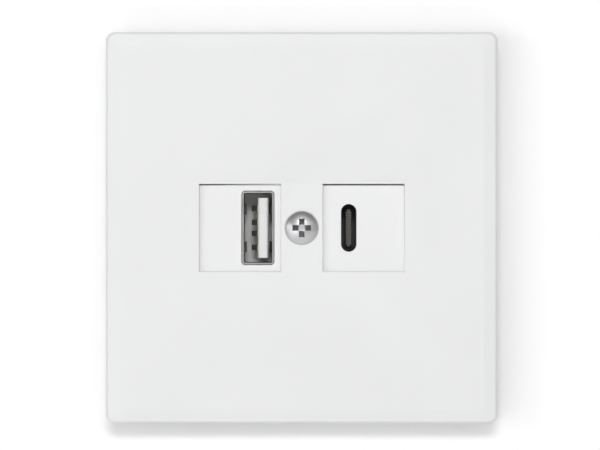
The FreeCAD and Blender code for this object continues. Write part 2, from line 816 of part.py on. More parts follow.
def make_capacitors(diameter, length, x):
    """Two cans side by side in the upper row."""
    reach = diameter / 2 + part_gap / 4
    return Part.makeCompound([rod(diameter, power_board_back, power_board_back + length,
                                  x, row_two_z + side * reach) for side in (-1, 1)])


def make_mains_fuse():
    """Sleeved fuse that stands on the board."""
    return rod(fuse_diameter, power_board_back, power_board_back + fuse_length, fuse_x, row_one_z)


def make_varistor():
    """Coated disc on edge, held off the board by two wire leads."""
    z = row_one_z - row_one_height / 2 + varistor_thickness / 2
    middle = power_board_back + varistor_lift + varistor_diameter / 2
    disc = Part.makeCylinder(varistor_diameter / 2, varistor_thickness,
                             V(varistor_x, middle, z - varistor_thickness / 2), V(0, 0, 1))
    leads = [block(wire_diameter, wire_diameter, power_board_back, middle,
                   varistor_x + side * varistor_diameter / 4, z) for side in (-1, 1)]
    return joined([disc] + leads)


def moulded_chip(width, height, thickness, y, x, z):
    """Moulded package whose top is a little smaller than its base."""
    outlines = []
    for inset, level in ((0, y), (component_edge, y + thickness)):
        corners = [V(x + sx * (width / 2 - inset), level, z + sz * (height / 2 - inset))
                   for sx, sz in ((-1, -1), (1, -1), (1, 1), (-1, 1))]
        outlines.append(Part.makePolygon(corners + corners[:1]))
    return Part.makeLoft(outlines, True, True)


def make_bridge_rectifier():
    """Flat moulded bridge above the varistor."""
    z = row_one_z + (row_one_height - bridge_height) / 2
    return moulded_chip(bridge_width, bridge_height, bridge_thickness, power_board_back, varistor_x, z)


def make_safety_capacitor():
    """Boxed film capacitor."""
    return block(safety_capacitor_width, safety_capacitor_height, power_board_back,
                 power_board_back + safety_capacitor_depth, safety_capacitor_x, row_one_z)


def make_filter_choke():
    """Drum core with its winding, one potted piece."""
    base, end, rim = power_board_back, power_board_back + choke_length, choke_flange_thickness
    outer, inner = choke_diameter / 2, (choke_diameter + choke_core_diameter) / 4
    return turned([(0, base), (outer, base), (outer, base + rim), (inner, base + rim),
                   (inner, end - rim), (outer, end - rim), (outer, end), (0, end)], choke_x, row_one_z)


def make_charge_controller():
    """Flat chip on the back of the port board."""
    middle = (usb_a_offset + usb_c_offset) / 2
    return moulded_chip(controller_side, controller_side, controller_thickness, port_board_back,
                        middle, controller_height)


def make_power_switch():
    """Switching chip beside the header."""
    x = header_offset - header_width / 2 - part_gap - switch_width
    return moulded_chip(switch_width, switch_height, switch_thickness, power_board_back, x, header_z)


def make_terminal_block(pole):
    """Terminal body, open to the board, with two wire holes and the lever's slot in its back wall."""
    height = terminal_top - terminal_floor
    middle = (terminal_top + terminal_floor) / 2
    body = block(terminal_width, height, power_board_back, terminal_back, pole, middle)
    body = body.makeChamfer(terminal_edge_cut, edges_in_plane(body, terminal_back))
    chamber_tall = chamber_top - chamber_floor
    cuts = [block(chamber_width, chamber_tall, power_board_back, chamber_back, pole,
                  (chamber_top + chamber_floor) / 2),
            block(lever_width + 2 * lever_play, slot_height, chamber_back, terminal_back, pole, lever_z)]
    for side in (-1, 1):
        cuts.append(rod(wire_hole_diameter, chamber_back, terminal_back,
                        pole + side * wire_hole_place, wire_z))
    return body.cut(cuts[0].multiFuse(cuts[1:]))


def rail_pin_z():
    """Height of the rail's pins through the board."""
    return rail_top + rail_thickness


def make_terminal_rail(pole):
    """Current bar: floor strip under the wires, bent up at the board, with two pins."""
    width = chamber_width - 2 * spring_side_gap
    upright_front = power_board_back + part_gap
    upright_back = upright_front + rail_thickness
    end = chamber_back - rail_end_gap
    outline = [(upright_front, chamber_floor), (end, chamber_floor), (end, rail_top),
               (upright_back, rail_top), (upright_back, spring_top() - spring_thickness),
               (upright_front, spring_top() - spring_thickness)]
    rail = side_profile(outline, pole - width / 2, pole + width / 2)
    pins = [block(rail_pin_width, rail_thickness, power_board_front, upright_back,
                  pole + side * rail_pin_place, rail_pin_z()) for side in (-1, 1)]
    return joined([rail] + pins)


def spring_top():
    """Height of the upper face of the clamp spring's fixed leg."""
    return chamber_top - spring_top_gap


def clamp_geometry():
    """Loop centre (y, z), bend direction and free-leg length of the clamp spring."""
    outer = spring_loop_radius + spring_thickness
    loop_y = chamber_back - lever_flange_thickness - lever_travel - part_gap - outer
    loop_z = spring_top() - outer
    turn = math.radians(spring_turn)
    lowest_start = loop_z + outer * math.cos(turn)
    leg = (lowest_start - rail_top - spring_rail_gap) / math.sin(turn)
    return loop_y, loop_z, turn, leg


def make_clamp_spring(pole):
    """Bent leaf: fixed leg on the rail's upright, loop, and a free leg that slants to the rail."""
    loop_y, loop_z, turn, leg = clamp_geometry()
    width = chamber_width - 2 * spring_side_gap
    x = pole - width / 2

    def path(radius):
        """Edges of one face of the leaf at this bend radius, and its two ends."""
        start = V(x, power_board_back + part_gap, loop_z + radius)
        bend = [V(x, loop_y + radius * math.sin(turn * part), loop_z + radius * math.cos(turn * part))
                for part in (0, 0.5, 1)]
        tip = bend[2] + V(0, leg * math.cos(turn), -leg * math.sin(turn))
        edges = [Part.LineSegment(start, bend[0]).toShape(), Part.Arc(*bend).toShape(),
                 Part.LineSegment(bend[2], tip).toShape()]
        return edges, start, tip

    outer, outer_start, outer_tip = path(spring_loop_radius + spring_thickness)
    inner, inner_start, inner_tip = path(spring_loop_radius)
    ends = [Part.LineSegment(outer_tip, inner_tip).toShape(),
            Part.LineSegment(inner_start, outer_start).toShape()]
    outline = Part.Wire(outer + ends[:1] + inner[::-1] + ends[1:])
    return Part.Face(outline).extrude(V(width, 0, 0))


def make_release_lever(pole):
    """Push lever: grooved end outside, retaining flange, and a nose that bears on the free leg."""
    loop_y, loop_z, turn, _ = clamp_geometry()
    low, high = lever_z - lever_height / 2, lever_z + lever_height / 2
    outer = spring_loop_radius + spring_thickness
    nose_top = low + lever_nose_height

    def leg_face(z):
        """Y of the free leg's rear face at this height."""
        start_y, start_z = loop_y + outer * math.sin(turn), loop_z + outer * math.cos(turn)
        return start_y + (start_z - z) / math.tan(turn)

    shank_front = loop_y + outer + lever_travel + part_gap / 2
    end = terminal_back + lever_travel + lever_stub
    outline = [(leg_face(low) + lever_nose_gap, low), (end, low), (end, high), (shank_front, high),
               (shank_front, nose_top), (leg_face(nose_top) + lever_nose_gap, nose_top)]
    lever = side_profile(outline, pole - lever_width / 2, pole + lever_width / 2)
    flange = block(lever_width, lever_height + 2 * lever_flange_lip, chamber_back - lever_flange_thickness,
                   chamber_back, pole, lever_z)
    lever = joined([lever, flange])
    pitch = lever_width / (lever_grip_count + 1)
    grips = [block(2 * lever_grip_depth, lever_height, end - lever_grip_depth, end,
                   pole - lever_width / 2 + (index + 1) * pitch, lever_z)
             for index in range(lever_grip_count)]
    return lever.cut(grips[0].multiFuse(grips[1:]))


save("cover_plate", make_cover_plate())
save("cover_screw", make_cover_screw())
save("threaded_bush", make_threaded_bush())
save("front_housing", make_front_housing())
save("rear_housing", make_rear_housing())
save("support_ring", make_support_ring())
save("housing_screws", make_housing_screws())
save("port_board", make_port_board())
save("power_board", make_power_board())
save("insulation_barrier", make_insulation_barrier())
save("board_header", make_board_header())
save("header_pins", make_header_pins())
save("usb_a_shell", make_usb_a_shell())
usb_a_contacts = make_usb_a_contacts()
save("usb_a_contacts", usb_a_contacts)
save("usb_a_body", make_usb_a_body(usb_a_contacts))
save("usb_c_shell", make_usb_c_shell())
save("usb_c_body", make_usb_c_body())
save("usb_c_contacts", make_usb_c_contacts())
for name, shape in zip(("core", "bobbin", "winding"), make_transformer()):
    save("transformer_" + name, shape)
save("input_capacitors",
     make_capacitors(input_capacitor_diameter, input_capacitor_length, input_capacitor_x))
save("output_capacitors",
     make_capacitors(output_capacitor_diameter, output_capacitor_length, output_capacitor_x))
save("mains_fuse", make_mains_fuse())
save("varistor", make_varistor())
save("bridge_rectifier", make_bridge_rectifier())
save("safety_capacitor", make_safety_capacitor())
save("filter_choke", make_filter_choke())
save("charge_controller", make_charge_controller())
save("power_switch", make_power_switch())
for pole_name, pole_place in (("line", -pole_x), ("neutral", pole_x)):
    save("terminal_block_" + pole_name, make_terminal_block(pole_place))
    save("terminal_rail_" + pole_name, make_terminal_rail(pole_place))
    save("clamp_spring_" + pole_name, make_clamp_spring(pole_place))
    save("release_lever_" + pole_name, make_release_lever(pole_place))
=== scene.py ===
import json
import logging
import math
from dataclasses import dataclass
from enum import Enum
from typing import Callable, Sequence

import bmesh
import bpy
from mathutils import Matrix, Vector


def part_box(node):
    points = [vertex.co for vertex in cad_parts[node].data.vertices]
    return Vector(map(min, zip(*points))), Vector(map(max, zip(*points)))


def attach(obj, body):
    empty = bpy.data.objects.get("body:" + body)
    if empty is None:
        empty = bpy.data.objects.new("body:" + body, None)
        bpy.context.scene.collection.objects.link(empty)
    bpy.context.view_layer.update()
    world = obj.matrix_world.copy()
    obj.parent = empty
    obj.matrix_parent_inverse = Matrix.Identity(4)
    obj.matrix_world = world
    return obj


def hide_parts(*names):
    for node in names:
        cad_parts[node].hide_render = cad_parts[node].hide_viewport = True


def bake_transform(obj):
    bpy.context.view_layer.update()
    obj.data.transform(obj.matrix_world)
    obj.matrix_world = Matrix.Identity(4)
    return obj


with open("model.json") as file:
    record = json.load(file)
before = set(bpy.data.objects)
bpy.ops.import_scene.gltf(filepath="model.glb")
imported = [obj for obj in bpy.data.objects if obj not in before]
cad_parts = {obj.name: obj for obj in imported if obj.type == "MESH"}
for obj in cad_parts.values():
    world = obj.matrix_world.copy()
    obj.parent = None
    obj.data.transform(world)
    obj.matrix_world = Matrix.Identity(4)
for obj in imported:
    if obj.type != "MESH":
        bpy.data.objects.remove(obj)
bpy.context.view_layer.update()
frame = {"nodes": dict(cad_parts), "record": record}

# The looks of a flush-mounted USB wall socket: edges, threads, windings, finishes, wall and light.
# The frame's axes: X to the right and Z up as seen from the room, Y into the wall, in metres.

log = logging.getLogger("socket")

MM = 0.001
Colour = tuple[float, float, float]
Place = tuple[float, float, float]
Profile = Sequence[tuple[float, float]]


class Axis(Enum):
    """The three directions of the frame."""

    X = 0
    Y = 1
    Z = 2


class Signal:
    """An output socket of a shader, on which Python's operators add Math nodes."""

    def __init__(self, sheet: "ShaderSheet", socket: bpy.types.NodeSocket | None) -> None:
        """Keep the socket and the sheet it is drawn on."""
        self.sheet = sheet
        self.socket = socket

    def _math(self, operation: str, *values: "Signal | float") -> "Signal":
        """Add one Math node.

        Args:
            operation: Blender's name of the operation.
            values: What goes into its sockets, in order.

        Returns:
            The node's result.
        """
        return self.sheet.node("ShaderNodeMath", {"operation": operation}, dict(enumerate(values)))

    def __add__(self, other: "Signal | float") -> "Signal":
        """Sum."""
        return self._math("ADD", self, other)

    def __radd__(self, other: float) -> "Signal":
        """Sum with a number on the left."""
        return self._math("ADD", other, self)

    def __sub__(self, other: "Signal | float") -> "Signal":
        """Difference."""
        return self._math("SUBTRACT", self, other)

    def __rsub__(self, other: float) -> "Signal":
        """Difference from a number."""
        return self._math("SUBTRACT", other, self)

    def __mul__(self, other: "Signal | float") -> "Signal":
        """Product."""
        return self._math("MULTIPLY", self, other)

    def __rmul__(self, other: float) -> "Signal":
        """Product with a number on the left."""
        return self._math("MULTIPLY", other, self)

    def __abs__(self) -> "Signal":
        """Size without sign."""
        return self._math("ABSOLUTE", self)

    def larger(self, other: "Signal | float") -> "Signal":
        """The larger of two values."""
        return self._math("MAXIMUM", self, other)

    def swing(self, size: float) -> "Signal":
        """A value of 0 to 1 as a swing about 0 that is this large from end to end."""
        return (self - 0.5) * size

    def rise(self, low: float, high: float) -> "Signal":
        """Smooth step.

        Args:
            low: Where the step is still 0.
            high: Where it has reached 1.

        Returns:
            The step's value.
        """
        return self.sheet.node(
            "ShaderNodeMapRange", {"interpolation_type": "SMOOTHSTEP"},
            {"Value": self, "From Min": low, "From Max": high})


class ShaderSheet:
    """The node tree of one material, or of the world."""

    def __init__(self, tree: bpy.types.NodeTree) -> None:
        """Start from an empty tree."""
        self.tree = tree
        tree.nodes.clear()

    def node(self, kind: str, settings: dict | None = None, inputs: dict | None = None,
             output: int | str = 0) -> Signal:
        """Add any node: its settings first, then its inputs.

        Args:
            kind: Blender's type name.
            settings: Properties of the node.
            inputs: Values or signals by socket name or number.
            output: Which output to hand back.

        Returns:
            The chosen output; an empty signal if the node has none.
        """
        made = self.tree.nodes.new(kind)
        for key, value in (settings or {}).items():
            setattr(made, key, value)
        for key, value in (inputs or {}).items():
            if isinstance(value, Signal):
                self.tree.links.new(value.socket, made.inputs[key])
            else:
                made.inputs[key].default_value = value
        return Signal(self, made.outputs[output] if made.outputs else None)

    def end(self, kind: str, surface: Signal) -> None:
        """Add the output node that takes the surface."""
        self.node(kind, inputs={"Surface": surface})

    def place(self, stretch: Place = (1.0, 1.0, 1.0)) -> Signal:
        """The point on the piece, in metres, stretched along the axes."""
        point = self.node("ShaderNodeTexCoord", output="Object")
        return self.node("ShaderNodeVectorMath", {"operation": "MULTIPLY"}, {0: point, 1: stretch})

    def noise(self, point: Signal, size: float, detail: float = 2.0) -> Signal:
        """Noise whose blobs are about this size in metres."""
        return self.node("ShaderNodeTexNoise", {"noise_dimensions": "3D"},
                         {"Vector": point, "Scale": 1 / size, "Detail": detail})

    def mix(self, factor: Signal, first: Colour | Signal, second: Colour | Signal) -> Signal:
        """Blend of two colours."""
        first, second = (c if isinstance(c, Signal) else (*c, 1.0) for c in (first, second))
        return self.node("ShaderNodeMix", {"data_type": "RGBA"}, {0: factor, 6: first, 7: second},
                         2)

    def bump(self, height: Signal, depth: float) -> Signal:
        """Normal of a relief whose height runs over 0 to 1 for this depth in metres."""
        return self.node("ShaderNodeBump", {},
                         {"Strength": 1.0, "Distance": depth, "Height": height})

    def part(self, vector: Signal, axis: Axis) -> Signal:
        """The part of a vector along an axis."""
        return self.node("ShaderNodeSeparateXYZ", {}, {"Vector": vector}, axis.value)

    def principled(self, **values: Signal | float | Colour) -> Signal:
        """The surface shader.

        Args:
            values: What goes into its sockets, named in lower case with underscores.

        Returns:
            The shader.
        """
        named = {}
        for key, value in values.items():
            socket = " ".join(word.upper() if word == "ior" else word.capitalize()
                              for word in key.split("_"))
            named[socket] = (*value, 1.0) if isinstance(value, tuple) else value
        return self.node("ShaderNodeBsdfPrincipled", {}, named)


def shaded(colour: Colour, gain: float) -> Colour:
    """The colour made darker or lighter by a factor."""
    return tuple(min(1.0, part * gain) for part in colour)


@dataclass(frozen=True)
class Finish:
    """A surface finish: its name, its main colour and how rough it is."""

    name: str
    colour: Colour
    roughness: float

    def material(self) -> bpy.types.Material:
        """The finish as a material, made once.

        Returns:
            The material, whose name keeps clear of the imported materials' names.
        """
        name = "finish_" + self.name
        found = bpy.data.materials.get(name)
        if found is not None:
            return found
        made = bpy.data.materials.new(name)
        made.use_nodes = True
        sheet = ShaderSheet(made.node_tree)
        sheet.end("ShaderNodeOutputMaterial", self.surface(sheet))
        return made

    def surface(self, sheet: ShaderSheet) -> Signal:
        """Draw the finish on a sheet; each kind of finish has its own."""
        raise NotImplementedError


@dataclass(frozen=True)
class Moulded(Finish):
    """Injection-moulded plastic: slow drift of tone, and the fine skin of its mould."""

    skin_size: float = 1.1 * MM
    skin_depth: float = 0.0022 * MM
    tone_size: float = 21 * MM
    tone_drift: float = 0.008
    tone_band: tuple[float, float] = (0.3, 0.7)
    polish_size: float = 5 * MM
    polish_drift: float = 0.05

    def surface(self, sheet: ShaderSheet) -> Signal:
        """Plastic with a moulded skin.

        Args:
            sheet: Where it is drawn.

        Returns:
            The shader.
        """
        point = sheet.place()
        drift = sheet.noise(point, self.tone_size, 1.0).rise(*self.tone_band)
        skin = sheet.noise(point, self.skin_size, 3.0)
        polish = sheet.noise(point, self.polish_size, 4.0)
        return sheet.principled(
            base_color=sheet.mix(drift, shaded(self.colour, 1 - self.tone_drift),
                                 shaded(self.colour, 1 + self.tone_drift)),
            roughness=self.roughness + polish.swing(self.polish_drift),
            ior=1.5,
            normal=sheet.bump(skin, self.skin_depth))


@dataclass(frozen=True)
class Metal(Finish):
    """Bare or plated metal with fine lines along one axis and faint smudges."""

    grain: Axis = Axis.Z
    grain_size: float = 0.09 * MM
    grain_squeeze: float = 0.08
    grain_depth: float = 0.0015 * MM
    smudge_size: float = 2.6 * MM
    smudge: float = 0.12
    smudge_band: tuple[float, float] = (0.35, 0.7)

    def surface(self, sheet: ShaderSheet) -> Signal:
        """Metal with its drawing lines.

        Args:
            sheet: Where it is drawn.

        Returns:
            The shader.
        """
        stretch = tuple(self.grain_squeeze if axis is self.grain else 1.0 for axis in Axis)
        lines = sheet.noise(sheet.place(stretch), self.grain_size, 3.0)
        smudges = sheet.noise(sheet.place(), self.smudge_size, 3.0)
        return sheet.principled(
            base_color=sheet.mix(smudges.rise(*self.smudge_band), self.colour,
                                 shaded(self.colour, 1 - self.smudge)),
            metallic=1.0,
            roughness=self.roughness + smudges.swing(self.smudge) + lines.swing(self.smudge),
            normal=sheet.bump(lines, self.grain_depth))


@dataclass(frozen=True)
class ZincPlate(Finish):
    """Zinc-plated sheet: cloudy crystals and rolling lines."""

    crystal_size: float = 2.4 * MM
    cloud_size: float = 6 * MM
    line_size: float = 0.15 * MM
    line_squeeze: float = 0.06
    line_depth: float = 0.0012 * MM
    dark: float = 0.86
    pale: float = 1.08
    crystal_share: float = 0.5
    crystal_polish: float = 0.08
    cloud_polish: float = 0.12

    def surface(self, sheet: ShaderSheet) -> Signal:
        """Zinc over steel.

        Args:
            sheet: Where it is drawn.

        Returns:
            The shader.
        """
        point = sheet.place()
        crystal = sheet.node("ShaderNodeTexVoronoi", {"feature": "F1"},
                             {"Vector": point, "Scale": 1 / self.crystal_size}, "Color")
        tone = sheet.part(crystal, Axis.X)
        lines = sheet.noise(sheet.place((1.0, 1.0, self.line_squeeze)), self.line_size)
        cloud = sheet.noise(point, self.cloud_size, 3.0)
        return sheet.principled(
            base_color=sheet.mix(tone * self.crystal_share + cloud * (1 - self.crystal_share),
                                 shaded(self.colour, self.dark), shaded(self.colour, self.pale)),
            metallic=1.0,
            roughness=(self.roughness + tone.swing(self.crystal_polish)
                       + cloud.swing(self.cloud_polish)),
            normal=sheet.bump(lines, self.line_depth))


@dataclass(frozen=True)
class CircuitBoard(Finish):
    """Lacquered glass-fibre board: tracks under the lacquer, bare fibre at the cut edges."""

    fibre: Colour = (0.52, 0.46, 0.28)
    fibre_roughness: float = 0.75
    fibre_dark: float = 0.8
    weave_size: float = 0.25 * MM
    weave_stretch: Place = (1.0, 0.2, 1.0)
    weave_relief: float = 0.15
    track_pitch: float = 1.9 * MM
    track_share: float = 0.16
    track_depth: float = 0.02 * MM
    track_tone: float = 1.7
    face_band: tuple[float, float] = (0.6, 0.9)

    def surface(self, sheet: ShaderSheet) -> Signal:
        """Lacquer over tracks.

        Args:
            sheet: Where it is drawn.

        Returns:
            The shader.
        """
        point = sheet.place()
        turned = sheet.node("ShaderNodeMapping", {},
                            {"Vector": point, "Rotation": (math.pi / 2, 0.0, 0.0)})
        runs = sheet.node(
            "ShaderNodeTexBrick", {"offset": 0.37, "squash": 0.6, "squash_frequency": 3},
            {"Vector": turned, "Scale": 1 / self.track_pitch, "Mortar Size": self.track_share / 4,
             "Brick Width": 2.4, "Row Height": 0.7}, "Fac")
        normal = sheet.node("ShaderNodeNewGeometry", output="Normal")
        flat = abs(sheet.part(normal, Axis.Y)).rise(*self.face_band)
        weave = sheet.noise(sheet.place(self.weave_stretch), self.weave_size, 1.0)
        lacquer = sheet.mix(runs, self.colour, shaded(self.colour, self.track_tone))
        edge = sheet.mix(weave, shaded(self.fibre, self.fibre_dark), self.fibre)
        return sheet.principled(
            base_color=sheet.mix(flat, edge, lacquer),
            roughness=self.fibre_roughness - flat * (self.fibre_roughness - self.roughness),
            normal=sheet.bump(runs * flat + weave * self.weave_relief, self.track_depth))


@dataclass(frozen=True)
class Wound(Finish):
    """A coil under tape or lacquer: close turns across one axis."""

    across: Axis = Axis.Z
    turn_pitch: float = 0.22 * MM
    turn_depth: float = 0.02 * MM
    wave_stretch: float = 6.5
    turn_share: float = 0.7
    patch_size: float = 1.5 * MM
    patch_polish: float = 0.1
    dark: float = 0.55
    pale: float = 1.1
    metallic: float = 0.0

    def surface(self, sheet: ShaderSheet) -> Signal:
        """Turns side by side.

        Args:
            sheet: Where it is drawn.

        Returns:
            The shader.
        """
        point = sheet.place()
        turns = sheet.node(
            "ShaderNodeTexWave", {"wave_type": "BANDS", "bands_direction": self.across.name},
            {"Vector": point, "Scale": 1 / (self.wave_stretch * self.turn_pitch),
             "Distortion": 0.3, "Detail": 1.0, "Detail Scale": 200.0}, "Fac")
        patch = sheet.noise(point, self.patch_size)
        return sheet.principled(
            base_color=sheet.mix(turns * self.turn_share + patch * (1 - self.turn_share),
                                 shaded(self.colour, self.dark), shaded(self.colour, self.pale)),
            metallic=self.metallic,
            roughness=self.roughness + patch.swing(self.patch_polish),
            normal=sheet.bump(turns, self.turn_depth))


class Finishes(Enum):
    """Every finish of the socket."""

    PLATE = Moulded("plate_gloss_white", (0.78, 0.783, 0.787), 0.46)
    PORT = Moulded("port_satin_white", (0.802, 0.804, 0.808), 0.46, skin_size=0.5 * MM)
    CASE = Moulded("case_textured_grey", (0.105, 0.11, 0.118), 0.62, skin_size=0.16 * MM,
                   skin_depth=0.012 * MM, tone_drift=0.06)
    TERMINAL = Moulded("terminal_satin_grey", (0.42, 0.43, 0.44), 0.5, skin_size=0.2 * MM,
                       skin_depth=0.006 * MM, tone_drift=0.03)
    LEVER = Moulded("lever_gloss_orange", (0.83, 0.21, 0.03), 0.34, tone_drift=0.04)
    TONGUE = Moulded("tongue_white", (0.715, 0.72, 0.72), 0.46, skin_size=0.3 * MM)
    # Painted light: a paler copy of the port's white for the deep floor of the USB-A port,
    # standing in for light that reaches into it.
    PORT_FLOOR_PAINTED_LIGHT = Moulded("port_floor_painted_light", (0.9, 0.9, 0.9), 0.5, skin_size=0.3 * MM)
    TONGUE_BLACK = Moulded("tongue_black", (0.028, 0.028, 0.03), 0.42, skin_size=0.2 * MM,
                           tone_drift=0.1)
    HEADER = Moulded("header_black", (0.02, 0.02, 0.021), 0.5, skin_size=0.2 * MM, tone_drift=0.1)
    CHIP = Moulded("chip_matt_black", (0.028, 0.028, 0.03), 0.66, skin_size=0.08 * MM,
                   skin_depth=0.006 * MM, tone_drift=0.1)
    BARRIER = Moulded("barrier_cream_sheet", (0.72, 0.66, 0.46), 0.48, skin_size=0.3 * MM,
                      tone_drift=0.05)
    BOBBIN = Moulded("bobbin_black", (0.05, 0.045, 0.042), 0.5, skin_size=0.3 * MM,
                     tone_drift=0.08)
    SLEEVE = Moulded("can_sleeve_blue", (0.018, 0.03, 0.075), 0.32, skin_size=0.8 * MM,
                     tone_drift=0.08)
    STRIPE = Moulded("can_stripe_pale", (0.56, 0.6, 0.66), 0.36, skin_size=0.8 * MM)
    FUSE = Moulded("fuse_sleeve_brown", (0.16, 0.06, 0.03), 0.4, skin_size=0.6 * MM,
                   tone_drift=0.1)
    DISC = Moulded("disc_dipped_blue", (0.02, 0.09, 0.3), 0.36, skin_size=0.9 * MM,
                   skin_depth=0.03 * MM, tone_drift=0.12)
    FILM = Moulded("film_box_yellow", (0.8, 0.58, 0.1), 0.42, skin_size=0.4 * MM, tone_drift=0.05)
    FERRITE = Moulded("ferrite_grey", (0.055, 0.055, 0.06), 0.56, skin_size=0.12 * MM,
                      skin_depth=0.01 * MM, tone_drift=0.15)
    SCREW = Metal("screw_bright_steel", (0.41, 0.41, 0.415), 0.34, grain=Axis.X)
    FIXING = Metal("fixing_zinc_steel", (0.58, 0.58, 0.6), 0.3, grain=Axis.Y)
    NICKEL = Metal("shell_nickel", (0.46, 0.455, 0.443), 0.4, grain=Axis.Z)
    # Painted shade: a darker, rougher copy of the shell metal for the USB-A shell's front rim, so
    # it shows less of the lamps' reflection.
    RIM_PAINTED_SHADE = Metal("shell_rim_painted_shade", (0.27, 0.268, 0.262), 0.55, grain=Axis.Y)
    BLACKENED = Metal("shell_blackened", (0.068, 0.068, 0.071), 0.42, grain=Axis.Z)
    GOLD = Metal("contact_gold", (0.86, 0.6, 0.26), 0.26, grain=Axis.Y)
    FLASHED = Metal("contact_thin_gold", (0.42, 0.375, 0.29), 0.5, grain=Axis.Y)
    BRASS = Metal("turned_brass", (0.78, 0.56, 0.26), 0.3, grain=Axis.Z)
    TIN = Metal("tinned_copper", (0.62, 0.6, 0.57), 0.34, grain=Axis.Y)
    SPRING = Metal("spring_steel", (0.56, 0.56, 0.57), 0.24, grain=Axis.X)
    CAN_TOP = Metal("can_top_aluminium", (0.72, 0.72, 0.73), 0.33, grain=Axis.X)
    RING = ZincPlate("ring_zinc_plate", (0.6, 0.61, 0.63), 0.36)
    BOARD = CircuitBoard("board_green_lacquer", (0.012, 0.1, 0.035), 0.3)
    TAPE = Wound("coil_yellow_tape", (0.78, 0.52, 0.06), 0.4, across=Axis.Z, turn_pitch=1.7 * MM)
    COPPER = Wound("coil_copper_wire", (0.78, 0.3, 0.14), 0.3, across=Axis.Y, metallic=1.0)

    def material(self) -> bpy.types.Material:
        """The finish's material."""
        return self.value.material()

    def dress(self, mesh: bpy.types.Mesh) -> None:
        """Give a mesh this finish and no other."""
        mesh.materials.clear()
        mesh.materials.append(self.material())


def node_finishes() -> dict[str, Finishes]:
    """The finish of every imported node.

    Returns:
        The finishes by the nodes' names.
    """
    found = {
        "cover_plate": Finishes.PLATE, "cover_screw": Finishes.SCREW,
        "threaded_bush": Finishes.BRASS, "front_housing": Finishes.PORT,
        "rear_housing": Finishes.CASE, "support_ring": Finishes.RING,
        "housing_screws": Finishes.FIXING, "port_board": Finishes.BOARD,
        "power_board": Finishes.BOARD, "insulation_barrier": Finishes.BARRIER,
        "board_header": Finishes.HEADER, "header_pins": Finishes.GOLD,
        "usb_a_shell": Finishes.NICKEL, "usb_a_contacts": Finishes.FLASHED,
        "usb_a_body": Finishes.TONGUE, "usb_c_shell": Finishes.BLACKENED,
        "usb_c_body": Finishes.TONGUE_BLACK, "usb_c_contacts": Finishes.FLASHED,
        "transformer_core": Finishes.FERRITE, "transformer_bobbin": Finishes.BOBBIN,
        "transformer_winding": Finishes.TAPE, "input_capacitors": Finishes.SLEEVE,
        "output_capacitors": Finishes.SLEEVE, "mains_fuse": Finishes.FUSE,
        "varistor": Finishes.DISC, "bridge_rectifier": Finishes.CHIP,
        "safety_capacitor": Finishes.FILM, "filter_choke": Finishes.FERRITE,
        "charge_controller": Finishes.CHIP, "power_switch": Finishes.CHIP}
    for pole in ("line", "neutral"):
        found["terminal_block_" + pole] = Finishes.TERMINAL
        found["terminal_rail_" + pole] = Finishes.TIN
        found["clamp_spring_" + pole] = Finishes.SPRING
        found["release_lever_" + pole] = Finishes.LEVER
    return found


def placed(name: str, data: bpy.types.ID) -> bpy.types.Object:
    """A new object in the scene.

    Args:
        name: Its name.
        data: Its mesh, lamp or camera.

    Returns:
        The object.
    """
    made = bpy.data.objects.new(name, data)
    bpy.context.scene.collection.objects.link(made)
    return made


